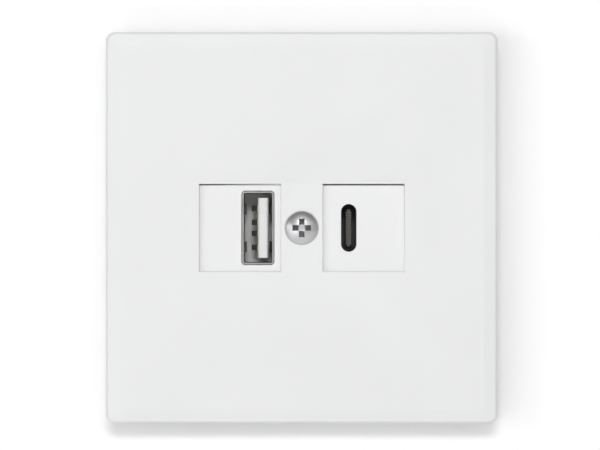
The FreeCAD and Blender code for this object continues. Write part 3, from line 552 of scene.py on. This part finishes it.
class Former:
    """Makes meshes: turned bodies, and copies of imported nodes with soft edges."""

    MERGED_WITHIN = 0.0005 * MM
    FLAT_WITHIN = math.radians(0.4)

    @staticmethod
    def mesh(name: str, points: Sequence[Vector], faces: Sequence[Sequence[int]]
             ) -> bpy.types.Mesh:
        """A mesh with its normals turned outwards.

        Args:
            name: The mesh's name.
            points: Its points.
            faces: The numbers of each face's points.

        Returns:
            The mesh.
        """
        made = bpy.data.meshes.new(name)
        made.from_pydata([tuple(p) for p in points], [], [tuple(f) for f in faces])
        work = bmesh.new()
        work.from_mesh(made)
        bmesh.ops.recalc_face_normals(work, faces=work.faces)
        work.to_mesh(made)
        work.free()
        return made

    @staticmethod
    def turned(name: str, profile: Profile, centre: Vector, steps: int,
               radius_at: Callable[[float, float, float], float] | None = None) -> bpy.types.Mesh:
        """A body turned about a line along Y.

        Args:
            name: The mesh's name.
            profile: (radius, y) rows; a row of radius 0 at either end closes the body.
            centre: A point on the line.
            steps: How many columns go round.
            radius_at: Changes a radius by (radius, y, angle), as a thread does.

        Returns:
            The mesh, open at an end that has no such row.
        """
        points, faces, rows = [], [], []
        for radius, y in profile:
            if radius == 0:
                rows.append([len(points)])
                points.append(Vector((centre.x, y, centre.z)))
                continue
            rows.append(list(range(len(points), len(points) + steps)))
            for step in range(steps):
                angle = 2 * math.pi * step / steps
                reach = radius_at(radius, y, angle) if radius_at else radius
                points.append(Vector((centre.x + reach * math.cos(angle), y,
                                      centre.z + reach * math.sin(angle))))
        for low, high in zip(rows, rows[1:]):
            for step in range(steps):
                after = (step + 1) % steps
                ring = [low[step % len(low)], low[after % len(low)], high[after % len(high)],
                        high[step % len(high)]]
                faces.append(list(dict.fromkeys(ring)))
        return Former.mesh(name, points, faces)

    @staticmethod
    def cleaned(node: str, name: str) -> bpy.types.Mesh:
        """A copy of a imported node's mesh with whole flat faces and no doubled points.

        Args:
            node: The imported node.
            name: The new mesh's name.

        Returns:
            The copy.
        """
        work = bmesh.new()
        work.from_mesh(frame["nodes"][node].data)
        bmesh.ops.remove_doubles(work, verts=work.verts, dist=Former.MERGED_WITHIN)
        bmesh.ops.dissolve_limit(work, angle_limit=Former.FLAT_WITHIN, verts=work.verts,
                                 edges=work.edges)
        made = bpy.data.meshes.new(name)
        work.to_mesh(made)
        work.free()
        return made

    @staticmethod
    def smooth(mesh: bpy.types.Mesh, angle: float) -> None:
        """Shade a mesh smooth, but for the edges sharper than an angle in degrees."""
        mesh.polygons.foreach_set("use_smooth", [True] * len(mesh.polygons))
        mesh.set_sharp_from_angle(angle=math.radians(angle))

    @staticmethod
    def soften(piece: bpy.types.Object, edge: float, steps: int = 3, angle: float = 28.0,
               where: Callable[[Vector, Vector, bool], bool] | None = None) -> None:
        """Round every edge sharper than an angle.

        Args:
            piece: The object to treat.
            edge: Width of the rounding, in metres.
            steps: Faces across the rounding.
            angle: Sharpest edge that stays, in degrees.
            where: Says of an edge's two ends, and whether it is sharp, if it is rounded; every
                sharp edge is if this is left out.
        """
        mesh = piece.data
        Former.smooth(mesh, angle)
        bevel = piece.modifiers.new("soft_edges", "BEVEL")
        bevel.width = edge
        bevel.segments = steps
        bevel.use_clamp_overlap = False
        bevel.harden_normals = True
        bevel.angle_limit = math.radians(angle)
        bevel.limit_method = "ANGLE"
        if where is None:
            return
        bevel.limit_method = "WEIGHT"
        sharp = mesh.attributes["sharp_edge"].data
        weights = mesh.attributes.new("bevel_weight_edge", "FLOAT", "EDGE")
        for line in mesh.edges:
            ends = (mesh.vertices[v].co for v in line.vertices)
            weights.data[line.index].value = float(where(*ends, sharp[line.index].value))

    @staticmethod
    def cut(piece: bpy.types.Object, tool: bpy.types.Object) -> None:
        """Cut one object out of another and put the tool away.

        Args:
            piece: What is cut.
            tool: What it is cut with.
        """
        modifier = piece.modifiers.new("cut", "BOOLEAN")
        modifier.operation = "DIFFERENCE"
        modifier.solver = "EXACT"
        modifier.object = tool
        Former.settle(piece)
        bpy.data.objects.remove(tool)

    @staticmethod
    def settle(piece: bpy.types.Object) -> None:
        """Make the mesh that the modifiers give the object's own.

        Args:
            piece: The object, which has no modifiers afterwards.
        """
        shown = piece.evaluated_get(bpy.context.evaluated_depsgraph_get())
        result = bpy.data.meshes.new_from_object(shown)
        piece.modifiers.clear()
        piece.data = result


@dataclass
class SubAssembly:
    """A group of pieces that is built and dressed together.

    Its pieces ride on the named body, or on none where no body is named.
    """

    body: str = "root"

    def add(self, mesh: bpy.types.Mesh, name: str, finish: Finishes, *stands_for: str,
            slot_of: str = "") -> bpy.types.Object:
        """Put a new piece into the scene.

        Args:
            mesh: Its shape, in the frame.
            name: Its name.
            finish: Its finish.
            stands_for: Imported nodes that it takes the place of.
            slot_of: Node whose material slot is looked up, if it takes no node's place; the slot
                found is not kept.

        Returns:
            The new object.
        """
        piece = placed(name, mesh)
        finish.dress(mesh)
        if self.body:
            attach(piece, self.body)
        if stands_for:
            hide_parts(*stands_for)
        material_slot(stands_for[0] if stands_for else slot_of)
        log.info("%s: %d points on %s", name, len(mesh.vertices), self.body or "two bodies")
        return piece

    def soft_copy(self, node: str, edge: float, steps: int = 3, angle: float = 28.0,
                  where: Callable[[Vector, Vector, bool], bool] | None = None
                  ) -> bpy.types.Object:
        """Stand a soft-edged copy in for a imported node.

        Args:
            node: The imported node.
            edge: Width of the rounding, in metres.
            steps: Faces across the rounding.
            angle: Sharpest edge that stays, in degrees.
            where: Which edges are rounded, as Former.soften takes it.

        Returns:
            The copy.
        """
        name = node + "_soft"
        piece = self.add(Former.cleaned(node, name), name, node_finishes()[node], node)
        Former.soften(piece, edge, steps, angle, where)
        return piece


def material_slot(node: str) -> str:
    """The record's material slot of a node."""
    parts = frame["record"]["subparts"]
    return next(part["material_slot"] for part in parts if part["node"] == node)


@dataclass
class CrossScrew(SubAssembly):
    """A screw with a cross recess and a real thread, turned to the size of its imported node."""

    node: str = "cover_screw"
    finish: Finishes = Finishes.SCREW
    shank_radius: float = 1.5 * MM
    thread_pitch: float = 0.5 * MM
    thread_depth: float = 0.27 * MM
    recess_width: float = 0.9 * MM
    recess_span: float = 3.5 * MM
    recess_floor: float = 1.2 * MM
    recess_depth: float = 2.3 * MM
    recess_clearance: float = 0.5 * MM
    columns: int = 72
    rows_a_turn: int = 10
    edge: float = 0.05 * MM
    edge_angle: float = 40.0

    def shank_rows(self, start: float, end: float) -> list[tuple[float, float]]:
        """Rows of the shank, close enough to carry its thread.

        Args:
            start: Y under the head.
            end: Y at the point.

        Returns:
            (radius, y) rows.
        """
        count = max(2, round((end - start) / self.thread_pitch * self.rows_a_turn))
        return [(self.shank_radius, start + (end - start) * step / count)
                for step in range(count + 1)]

    def threaded(self, start: float, end: float) -> Callable[[float, float, float], float]:
        """The thread between two places along Y, as a change of radius.

        Args:
            start: Where the thread runs out under the head.
            end: Where it runs out at the point.

        Returns:
            A function of (radius, y, angle).
        """
        def radius_at(radius: float, y: float, angle: float) -> float:
            """Radius with the thread's V cut in.

            Args:
                radius: The plain shank's radius.
                y: Place along the screw.
                angle: Angle round the screw.

            Returns:
                The radius there.
            """
            if not start < y < end:
                return radius
            phase = (y / self.thread_pitch - angle / (2 * math.pi)) % 1.0
            groove = 1 - abs(2 * phase - 1)
            fade = min(1.0, (y - start) / self.thread_pitch, (end - y) / self.thread_pitch)
            return radius - self.thread_depth * groove * fade

        return radius_at

    def cross(self, top: float, centre: Vector) -> bpy.types.Object:
        """The tool that cuts the recess: a cross-shaped peg that narrows towards the floor.

        Args:
            top: Y of the head's top.
            centre: A point on the screw's line.

        Returns:
            The tool.
        """
        points, faces, corners = [], [], 12
        for y, span in ((top - self.recess_clearance, self.recess_span), (top, self.recess_span),
                        (top + self.recess_depth, self.recess_floor)):
            half, reach = self.recess_width / 2, span / 2
            for turn in range(4):
                for along, over in ((reach, -half), (reach, half), (half, half)):
                    quarters = ((along, over), (-over, along), (-along, -over), (over, -along))
                    x, z = quarters[turn]
                    points.append(Vector((centre.x + x, y, centre.z + z)))
        for row in (0, corners):
            for corner in range(corners):
                after = (corner + 1) % corners
                faces.append([row + corner, row + after, row + corners + after,
                              row + corners + corner])
        faces += [list(range(corners)), list(range(2 * corners, 3 * corners))]
        return placed("recess_tool", Former.mesh("recess_tool", points, faces))

    def turn(self, name: str, profile: Profile, centre: Vector, start: float,
             end: float) -> None:
        """Turn one screw, cut its recess and soften its edges.

        Args:
            name: The screw's name.
            profile: (radius, y) rows from the top of the head to the point.
            centre: A point on the screw's line.
            start: Where the thread runs out under the head.
            end: Where it runs out at the point.
        """
        mesh = Former.turned(name, profile, centre, self.columns, self.threaded(start, end))
        screw = self.add(mesh, name, self.finish, self.node)
        Former.cut(screw, self.cross(profile[0][1], centre))
        Former.soften(screw, self.edge, 2, self.edge_angle)


@dataclass
class CoverScrew(CrossScrew):
    """The raised countersunk screw in the middle of the plate."""

    crown_rows: int = 10
    crown_share: float = 0.97
    shoulder_share: float = 0.992
    shoulder_drop: float = 0.05 * MM
    rim_drop: float = 0.04 * MM
    cone_share: float = 0.995
    cone_drop: float = 0.1 * MM
    point_length: float = 0.6 * MM
    point_slope: float = 0.8

    def build(self) -> None:
        """Turn the crown, cone and threaded shank, and cut the recess."""
        low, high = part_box(self.node)
        plate_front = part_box("cover_plate")[0].y
        head = (high.x - low.x) / 2
        rise = plate_front - low.y
        sphere = (head ** 2 + rise ** 2) / (2 * rise)
        profile = [(0.0, low.y)]
        for row in range(1, self.crown_rows + 1):
            reach = head * self.crown_share * row / self.crown_rows
            profile.append((reach, low.y + sphere - math.sqrt(sphere ** 2 - reach ** 2)))
        crown_edge = profile[-1][1]
        profile += [(head * self.shoulder_share, crown_edge + self.shoulder_drop),
                    (head, plate_front + self.rim_drop),
                    (head * self.cone_share, plate_front + self.cone_drop)]
        neck = plate_front + head - self.shank_radius
        end = high.y - self.point_length
        profile += self.shank_rows(neck, end)
        profile += [(self.shank_radius - self.point_slope * self.point_length, high.y),
                    (0.0, high.y)]
        self.turn(self.node + "_turned", profile, Vector(), neck, end)


@dataclass
class HousingScrews(CrossScrew):
    """The four pan-head screws that hold the insert together."""

    node: str = "housing_screws"
    finish: Finishes = Finishes.FIXING
    shank_radius: float = 1.1 * MM
    thread_pitch: float = 0.9 * MM
    thread_depth: float = 0.25 * MM
    recess_width: float = 0.6 * MM
    recess_span: float = 2.2 * MM
    recess_floor: float = 0.8 * MM
    recess_depth: float = 0.8 * MM
    columns: int = 40
    edge: float = 0.04 * MM
    head_radius: float = 2.0 * MM
    head_height: float = 1.3 * MM
    dome_rows: int = 6
    dome_foot: float = 0.35
    point_share: float = 0.55

    def build(self) -> None:
        """Turn one screw at each corner of the node's box."""
        low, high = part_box(self.node)
        for index, (side, up) in enumerate(((-1, -1), (1, -1), (-1, 1), (1, 1))):
            reach_x, reach_z = high.x - self.head_radius, high.z - self.head_radius
            centre = Vector((side * reach_x, 0.0, up * reach_z))
            top, seat = low.y, low.y + self.head_height
            profile = [(0.0, top)]
            for row in range(1, self.dome_rows + 1):
                angle = math.pi / 2 * row / self.dome_rows
                lift = self.dome_foot + (1 - self.dome_foot) * math.cos(angle)
                profile.append((self.head_radius * math.sin(angle), seat - (seat - top) * lift))
            profile.append((self.head_radius, seat))
            profile += self.shank_rows(seat, high.y - self.thread_pitch)
            profile += [(self.shank_radius * self.point_share, high.y), (0.0, high.y)]
            self.turn("housing_screw_%d" % (index + 1), profile, centre, seat,
                      high.y - self.thread_pitch / 2)


@dataclass
class CoverPlate(SubAssembly):
    """The white plate."""

    edge: float = 0.12 * MM
    edge_steps: int = 4
    edge_angle: float = 24.0
    face_depth: float = 0.05 * MM
    face_margin: float = 3 * MM

    def build(self) -> None:
        """Soft-edged copy of the moulding."""
        low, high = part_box("cover_plate")

        def where(start: Vector, end: Vector, sharp: bool) -> bool:
            """The outline of the face, the mouths of its openings, and the rim on the wall.

            Args:
                start: One end of an edge.
                end: Its other end.
                sharp: Whether the edge is sharp.

            Returns:
                Whether it is rounded.
            """
            on_face = max(start.y, end.y) < low.y + self.face_depth
            on_wall = min(start.y, end.y) > high.y - self.face_depth
            inmost = min(max(abs(place.x), abs(place.z)) for place in (start, end))
            outer = inmost > high.x - self.face_margin
            return (on_face and (sharp or outer)) or (sharp and on_wall)

        self.soft_copy("cover_plate", self.edge, self.edge_steps, self.edge_angle, where)


@dataclass
class Insert(SubAssembly):
    """Front and rear housing, the ring and the bush."""

    front_edge: float = 0.05 * MM
    case_edge: float = 0.12 * MM
    ring_edge: float = 0.1 * MM
    bush_edge: float = 0.05 * MM
    side_fit: float = 0.095 * MM
    top_fit: float = -0.11 * MM
    block_depth: float = 3 * MM
    mouth_depth: float = 0.1 * MM
    near: float = 0.01 * MM

    def build(self) -> None:
        """Soft-edged copies of the mouldings and of the stamped ring."""
        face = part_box("front_housing")[0].y
        mouth = face + self.mouth_depth
        front = self.soft_copy(
            "front_housing", self.front_edge,
            where=lambda start, end, sharp: sharp and max(start.y, end.y) < mouth)
        self.seat_blocks(front.data, face)
        self.soft_copy("rear_housing", self.case_edge)
        self.soft_copy("support_ring", self.ring_edge, steps=2)
        self.soft_copy("threaded_bush", self.bush_edge, steps=2)

    def seat_blocks(self, mesh: bpy.types.Mesh, face: float) -> None:
        """Seat both port blocks low in their windows, so that only the upper gap is seen.

        Args:
            mesh: The front housing.
            face: Y of the blocks' faces.
        """
        rim = [vertex.co for vertex in mesh.vertices if vertex.co.y < face + self.near]
        top = max(place.z for place in rim)
        for side in (-1, 1):
            reach = sorted(place.x for place in rim if place.x * side > 0)
            for vertex in mesh.vertices:
                place = vertex.co
                if place.y > face + self.block_depth or place.x * side < 0:
                    continue
                for edge, out in ((reach[0], -1), (reach[-1], 1)):
                    if abs(place.x - edge) < self.near:
                        place.x += out * self.side_fit
                if abs(abs(place.z) - top) < self.near:
                    place.z += self.top_fit if place.z > 0 else -self.side_fit


@dataclass
class Ports(SubAssembly):
    """The USB-A and USB-C receptacles."""

    edges: tuple[tuple[str, float], ...] = (
        ("usb_a_shell", 0.02 * MM), ("usb_a_body", 0.08 * MM), ("usb_a_contacts", 0.04 * MM),
        ("usb_c_shell", 0.05 * MM), ("usb_c_body", 0.06 * MM), ("usb_c_contacts", 0.012 * MM))
    floor_depth: float = 7.5 * MM
    rim_depth: float = 0.02 * MM

    def build(self) -> None:
        """Folded shells, tongues and contacts with the edges that such parts have; the USB-A
        shell's front rim gets painted shade and the deep floor of its port painted light.
        """
        for node, edge in self.edges:
            mesh = self.soft_copy(node, edge, steps=2).data
            front = min(vertex.co.y for vertex in mesh.vertices)
            # Painted shade: the front rim of the USB-A shell gets a darker copy of its metal.
            if node == "usb_a_shell":
                self.repaint(mesh, Finishes.RIM_PAINTED_SHADE, -math.inf, front + self.rim_depth)
            # Painted light: the deep faces of the USB-A body get a paler white than the tongue, to
            # brighten the port's floor.
            elif node == "usb_a_body":
                self.repaint(mesh, Finishes.PORT_FLOOR_PAINTED_LIGHT, front + self.floor_depth, math.inf)

    @staticmethod
    def repaint(mesh: bpy.types.Mesh, finish: Finishes, near: float, far: float) -> None:
        """Give some faces a finish of their own.

        Args:
            mesh: The mesh.
            finish: The finish.
            near: Least Y of the middle of such a face.
            far: Greatest Y of it.
        """
        mesh.materials.append(finish.material())
        for face in mesh.polygons:
            if near <= face.center.y <= far:
                face.material_index = len(mesh.materials) - 1


@dataclass
class Boards(SubAssembly):
    """Both circuit boards, the sheet between them and what stands on them."""

    edges: tuple[tuple[str, float], ...] = (
        ("port_board", 0.05 * MM), ("power_board", 0.05 * MM), ("insulation_barrier", 0.04 * MM),
        ("board_header", 0.12 * MM), ("header_pins", 0.06 * MM), ("transformer_core", 0.15 * MM),
        ("transformer_bobbin", 0.08 * MM), ("transformer_winding", 0.1 * MM),
        ("safety_capacitor", 0.15 * MM), ("mains_fuse", 0.15 * MM), ("varistor", 0.12 * MM),
        ("bridge_rectifier", 0.08 * MM), ("charge_controller", 0.06 * MM),
        ("power_switch", 0.06 * MM))

    def build(self) -> None:
        """Soft-edged copies; the round parts have pieces of their own."""
        for node, edge in self.edges:
            self.soft_copy(node, edge, steps=2)


@dataclass
class Terminals(SubAssembly):
    """Both spring terminals; each release lever rides on its own body."""

    block_edge: float = 0.1 * MM
    rail_edge: float = 0.06 * MM

    def build(self) -> None:
        """Blocks and rails stay with the insert, the springs ride on no body and each lever rides
        on its own.
        """
        for pole in ("line", "neutral"):
            self.soft_copy("terminal_block_" + pole, self.block_edge)
            self.soft_copy("terminal_rail_" + pole, self.rail_edge, steps=2)
            ClampSpring(body="", pole=pole).build()
            Lever(body=pole + "_lever", pole=pole).build()


@dataclass
class ClampSpring(SubAssembly):
    """One leaf spring, on which the release lever presses; its copy rides on no body."""

    pole: str = "line"
    edge: float = 0.04 * MM
    bend_height: float = 3.0 * MM
    leg_height: float = 5.6 * MM
    tip_clearance: float = 0.35 * MM

    def build(self) -> None:
        """Soft-edged copy that bends at its loop, with a tip that stays clear of the rail."""
        node = "clamp_spring_" + self.pole
        spring = self.soft_copy(node, self.edge, steps=2)
        low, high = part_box(node)
        for point in spring.data.vertices:
            along = 1 - (point.co.z - low.z) / self.leg_height
            point.co.y += self.tip_clearance * max(0.0, along)
        Former.settle(spring)
        self.pole + "_lever"
        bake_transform(spring)


@dataclass
class Lever(SubAssembly):
    """One release lever."""

    pole: str = "line"
    edge: float = 0.1 * MM

    def build(self) -> None:
        """Soft-edged copy of the moulded lever."""
        self.soft_copy("release_lever_" + self.pole, self.edge)


@dataclass
class ElectrolyticCans(SubAssembly):
    """Sleeved cans: crimped groove, pale stripe, bare top with its vent."""

    node: str = "input_capacitors"
    columns: int = 48
    rolled: float = 0.35 * MM
    roll_rows: int = 4
    groove_place: float = 1.4 * MM
    groove_depth: float = 0.3 * MM
    groove_pitch: float = 0.12 * MM
    top_share: float = 0.8
    lip: float = 0.1 * MM
    lid_drop: float = 0.12 * MM
    vent_share: float = 0.5
    near: float = 0.01 * MM
    lid_facing: float = 0.5
    smooth_angle: float = 50.0
    stripe_columns: int = 7

    def build(self) -> None:
        """Turn both cans of the node's box."""
        low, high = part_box(self.node)
        radius = (high.x - low.x) / 2
        for index, z in enumerate((low.z + radius, high.z - radius)):
            centre = Vector(((low.x + high.x) / 2, 0.0, z))
            name = "%s_can_%d" % (self.node, index + 1)
            mesh = Former.turned(name, self.profile(radius, low.y, high.y), centre, self.columns)
            can = self.add(mesh, name, Finishes.SLEEVE, self.node)
            self.colour(can, centre, high.y)
            Former.smooth(can.data, self.smooth_angle)

    def profile(self, radius: float, base: float, top: float) -> list[tuple[float, float]]:
        """Half section of a can.

        Args:
            radius: Radius of the sleeve.
            base: Y of its foot on the board.
            top: Y of its top.

        Returns:
            (radius, y) rows.
        """
        count = self.roll_rows
        rows = [(0.0, base), (radius - self.rolled, base)]
        for step in range(1, count + 1):
            angle = math.pi / 2 * step / count
            rows.append((radius - self.rolled * (1 - math.sin(angle)),
                         base + self.rolled * (1 - math.cos(angle))))
        for step in range(-count, count + 1):
            dip = self.groove_depth * (1 + math.cos(math.pi * step / count)) / 2
            rows.append((radius - dip, base + self.groove_place + step * self.groove_pitch))
        for step in range(count + 1):
            angle = math.pi / 2 * step / count
            rows.append((radius - self.rolled * (1 - math.cos(angle)),
                         top - self.rolled * (1 - math.sin(angle))))
        lid = radius * self.top_share
        sunk = top - self.lid_drop
        return rows + [(lid + self.lip, top), (lid, sunk), (lid * self.vent_share, sunk),
                       (0.0, sunk)]

    def colour(self, can: bpy.types.Object, centre: Vector, top: float) -> None:
        """Give the lid bare metal and one side the stripe.

        Args:
            can: The can.
            centre: A point on its line.
            top: Y of its top.
        """
        can.data.materials.append(Finishes.STRIPE.material())
        can.data.materials.append(Finishes.CAN_TOP.material())
        for face in can.data.polygons:
            middle = face.center - centre
            column = math.atan2(middle.z, middle.x) / (2 * math.pi) * self.columns
            lid = face.center.y > top - self.lid_drop - self.near
            if lid and face.normal.y > self.lid_facing:
                face.material_index = 2
            elif abs(column) < self.stripe_columns / 2:
                face.material_index = 1


@dataclass
class FilterChoke(SubAssembly):
    """Drum core with copper wire wound in its waist."""

    node: str = "filter_choke"
    columns: int = 40
    edge: float = 0.08 * MM
    wire_radius: float = 0.11 * MM
    wire_rows: int = 6
    flange: float = 0.9 * MM
    waist_share: float = 0.7
    end_gap: float = 0.001 * MM
    coil_gap: float = 0.02 * MM
    coil_root: float = 0.98

    def build(self) -> None:
        """Turn the drum, and the coil as one ribbed body between its flanges."""
        low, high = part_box(self.node)
        radius = (high.x - low.x) / 2
        waist = radius * self.waist_share
        centre = Vector(((low.x + high.x) / 2, 0.0, (low.z + high.z) / 2))
        start, end = low.y + self.flange, high.y - self.flange
        profile = [(0.0, low.y), (radius, low.y), (radius, start), (waist, start),
                   (waist, end), (radius, end), (radius, high.y), (0.0, high.y)]
        drum = self.add(Former.turned("choke_drum", profile, centre, self.columns), "choke_drum",
                        Finishes.FERRITE, self.node)
        Former.soften(drum, self.edge, steps=2)
        coil = self.add(Former.turned("choke_coil", self.coil_rows(waist, start, end), centre,
                                      self.columns),
                        "choke_coil", Finishes.COPPER, slot_of=self.node)
        coil.data.polygons.foreach_set("use_smooth", [True] * len(coil.data.polygons))

    def coil_rows(self, waist: float, start: float, end: float) -> list[tuple[float, float]]:
        """Half section of the coil, one rib for each turn of the wire.

        Args:
            waist: Radius of the drum's waist.
            start: Y of one flange's inner face.
            end: Y of the other's.

        Returns:
            (radius, y) rows.
        """
        turns = int((end - start) / (2 * self.wire_radius))
        pitch = (end - start) / turns
        root = waist * self.coil_root
        rows = [(root, start), (waist + self.end_gap, start)]
        for turn in range(turns):
            for step in range(1, self.wire_rows):
                share = step / self.wire_rows
                lift = self.wire_radius * math.sin(math.pi * share)
                rows.append((waist + self.coil_gap + lift, start + (turn + share) * pitch))
        return rows + [(waist + self.end_gap, end), (root, end)]


@dataclass(frozen=True)
class Lamp:
    """One area light that is aimed at the socket.

    The direction points from the socket towards the lamp. The level is the light that it adds to
    a white surface that faces it, where 1 is white. Distance, width and height are in metres.
    """

    name: str
    direction: Place
    distance: float
    level: float
    width: float
    height: float

    def hang(self) -> None:
        """Put the lamp up."""
        data = bpy.data.lights.new(self.name, "AREA")
        data.shape = "RECTANGLE"
        data.size, data.size_y = self.width, self.height
        data.energy = self.level * (math.pi * self.distance) ** 2
        lamp = placed(self.name, data)
        towards = Vector(self.direction).normalized()
        lamp.location = towards * self.distance
        lamp.rotation_euler = (-towards).to_track_quat("-Z", "Y").to_euler()
        lamp.visible_camera = False


@dataclass
class Studio:
    """The wall that the socket sits on, a pale floor, the lights and the camera.

    In reflections the room before the wall is darker than the wall, so metal that faces it shows
    some contrast. The lamps are a strip above the camera, three lower ones, and two on the rear.
    """

    image_width: int = 600
    pixels_a_mm: float = 5.6
    plate_middle_x: float = 301.8
    plate_middle_y: float = 227.9
    image_middle_x: float = 300.0
    image_middle_y: float = 225.0
    lens: float = 200.0
    sensor: float = 36.0
    ambient: float = 0.43
    wall_glow: float = 0.02
    wall_return: float = 0.4
    wall_gap: float = 0.02 * MM
    wall_reach: float = 2.5
    floor_glow: float = 0.6
    floor_return: float = 0.85
    floor_drop: float = 0.45
    floor_reach: float = 4.0
    room_level: float = 0.56
    room_spread: float = 0.5
    ceiling_level: float = 0.28
    ceiling_start: float = 0.15
    ceiling_end: float = 0.65
    box_opening: float = 67 * MM
    lamps: tuple[Lamp, ...] = (
        Lamp("key_light", (-0.01, -1.0, 0.325), distance=1.8, level=0.325, width=0.5, height=0.24),
        Lamp("left_light", (-0.93, -1.0, 0.1), distance=1.2, level=0.08, width=0.25, height=0.25),
        Lamp("low_light", (-0.42, -1.0, -0.14), distance=1.2, level=0.118, width=0.5, height=0.3),
        Lamp("right_light", (0.42, -1.0, 0.2), distance=1.2, level=0.055, width=0.4, height=0.3),
        Lamp("rear_light_left", (-0.8, 1.0, 0.7), distance=1.3, level=0.6, width=0.7, height=0.7),
        Lamp("rear_light_right", (1.0, 1.0, 0.3), distance=1.3, level=0.35, width=0.7, height=0.7))

    def build(self) -> None:
        """Put up the whole studio."""
        self.world()
        self.wall()
        self.floor()
        for lamp in self.lamps:
            lamp.hang()
        self.camera()
        bpy.context.scene.view_settings.view_transform = "Standard"

    def camera(self) -> None:
        """A frontal camera that frames the plate as the photograph does."""
        data = bpy.data.cameras.new("front_camera")
        data.lens = self.lens
        data.sensor_width = self.sensor
        camera = placed("front_camera", data)
        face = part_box("cover_plate")[0].y
        width = self.image_width / self.pixels_a_mm * MM
        right = (self.image_middle_x - self.plate_middle_x) / self.pixels_a_mm * MM
        up = (self.plate_middle_y - self.image_middle_y) / self.pixels_a_mm * MM
        camera.location = (right, face - self.lens * width / self.sensor, up)
        camera.rotation_euler = (math.pi / 2, 0.0, 0.0)
        bpy.context.scene.camera = camera

    def world(self) -> None:
        """White to the eye, white with a darker room in reflections, weaker on matt surfaces."""
        world = bpy.data.worlds.new("studio_world")
        world.use_nodes = True
        bpy.context.scene.world = world
        sheet = ShaderSheet(world.node_tree)
        seen = self.seen(sheet)
        glossy = sheet.node("ShaderNodeLightPath", output="Is Glossy Ray")
        direction = sheet.node("ShaderNodeTexCoord", output="Generated")
        towards, height = (sheet.part(direction, axis) for axis in (Axis.Y, Axis.Z))
        room = (0 - towards).rise(0.0, self.room_spread)
        ceiling = (abs(height).rise(self.ceiling_start, self.ceiling_end)
                   * (self.room_level - self.ceiling_level))
        darker = glossy * room * (1 - self.room_level + ceiling)
        level = self.ambient + seen * (1 - self.ambient) - darker
        sheet.end("ShaderNodeOutputWorld", sheet.node(
            "ShaderNodeBackground", {}, {"Color": (1.0, 1.0, 1.0, 1.0), "Strength": level}))

    @staticmethod
    def seen(sheet: ShaderSheet) -> Signal:
        """The rays that see the backdrop.

        Args:
            sheet: Where the nodes are drawn.

        Returns:
            1 for camera, glossy and transmission rays, else 0.
        """
        camera, glossy, through = (sheet.node("ShaderNodeLightPath", output="Is %s Ray" % kind)
                                   for kind in ("Camera", "Glossy", "Transmission"))
        return camera.larger(glossy).larger(through)

    def backdrop(self, name: str, glow: float, returned: float,
                 one_sided: bool) -> bpy.types.Material:
        """Matt white to the eye and in reflections, and duller to all other rays.

        Args:
            name: The material's name.
            glow: Light that it adds where it is seen, where 1 is white.
            returned: Share of the light that it throws back at the socket.
            one_sided: Whether it vanishes from behind.

        Returns:
            The material.
        """
        material = bpy.data.materials.new(name)
        material.use_nodes = True
        sheet = ShaderSheet(material.node_tree)
        white, dull = (
            sheet.node("ShaderNodeBsdfDiffuse", {}, {"Color": (share, share, share, 1.0)})
            for share in (1.0, returned))
        light = sheet.node("ShaderNodeEmission", {}, {"Strength": glow})
        shown = sheet.node("ShaderNodeAddShader", {}, {0: white, 1: light})
        both = sheet.node("ShaderNodeMixShader", {}, {0: self.seen(sheet), 1: dull, 2: shown})
        if one_sided:
            behind = sheet.node("ShaderNodeNewGeometry", output="Backfacing")
            clear = sheet.node("ShaderNodeBsdfTransparent")
            both = sheet.node("ShaderNodeMixShader", {}, {0: behind, 1: both, 2: clear})
        sheet.end("ShaderNodeOutputMaterial", both)
        return material

    @staticmethod
    def sheet_of(name: str, corners: Sequence[Place], faces: Sequence[tuple[int, ...]],
                 material: bpy.types.Material) -> None:
        """Add a flat stage piece.

        Args:
            name: Its name.
            corners: Its corners.
            faces: The numbers of each face's corners.
            material: Its material.
        """
        mesh = bpy.data.meshes.new(name)
        mesh.from_pydata(corners, [], faces)
        mesh.materials.append(material)
        placed(name, mesh)

    def wall(self) -> None:
        """The wall's face round its box; it shows from the room only."""
        y, half, hole = self.wall_gap, self.wall_reach, self.box_opening / 2
        around = ((-1, -1), (1, -1), (1, 1), (-1, 1))
        corners = [(half * x, y, max(half * z, -self.floor_drop)) for x, z in around]
        corners += [(hole * x, y, hole * z) for x, z in around]
        faces = [(a, (a + 1) % 4, 4 + (a + 1) % 4, 4 + a) for a in range(4)]
        white = self.backdrop("wall_matt_white", self.wall_glow, self.wall_return, True)
        self.sheet_of("wall", corners, faces, white)

    def floor(self) -> None:
        """A pale floor well below the socket."""
        z, half = -self.floor_drop, self.floor_reach
        corners = [(-half, -half, z), (half, -half, z), (half, half, z), (-half, half, z)]
        white = self.backdrop("floor_matt_white", self.floor_glow, self.floor_return, False)
        self.sheet_of("floor", corners, [(0, 1, 2, 3)], white)


def dress_nodes() -> None:
    """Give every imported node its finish, the ones that stay shown and the ones that don't."""
    for name, finish in node_finishes().items():
        finish.dress(frame["nodes"][name].data)


def main() -> None:
    """Build the socket's looks from the front to the back, then the studio."""
    logging.basicConfig(level=logging.INFO, format="%(message)s")
    dress_nodes()
    for part in (CoverPlate(), CoverScrew(), Insert(), HousingScrews(), Ports(), Boards(),
                 Terminals(), ElectrolyticCans(node="input_capacitors"),
                 ElectrolyticCans(node="output_capacitors"), FilterChoke()):
        part.build()
    Studio().build()


if __name__ == "__main__":
    main()
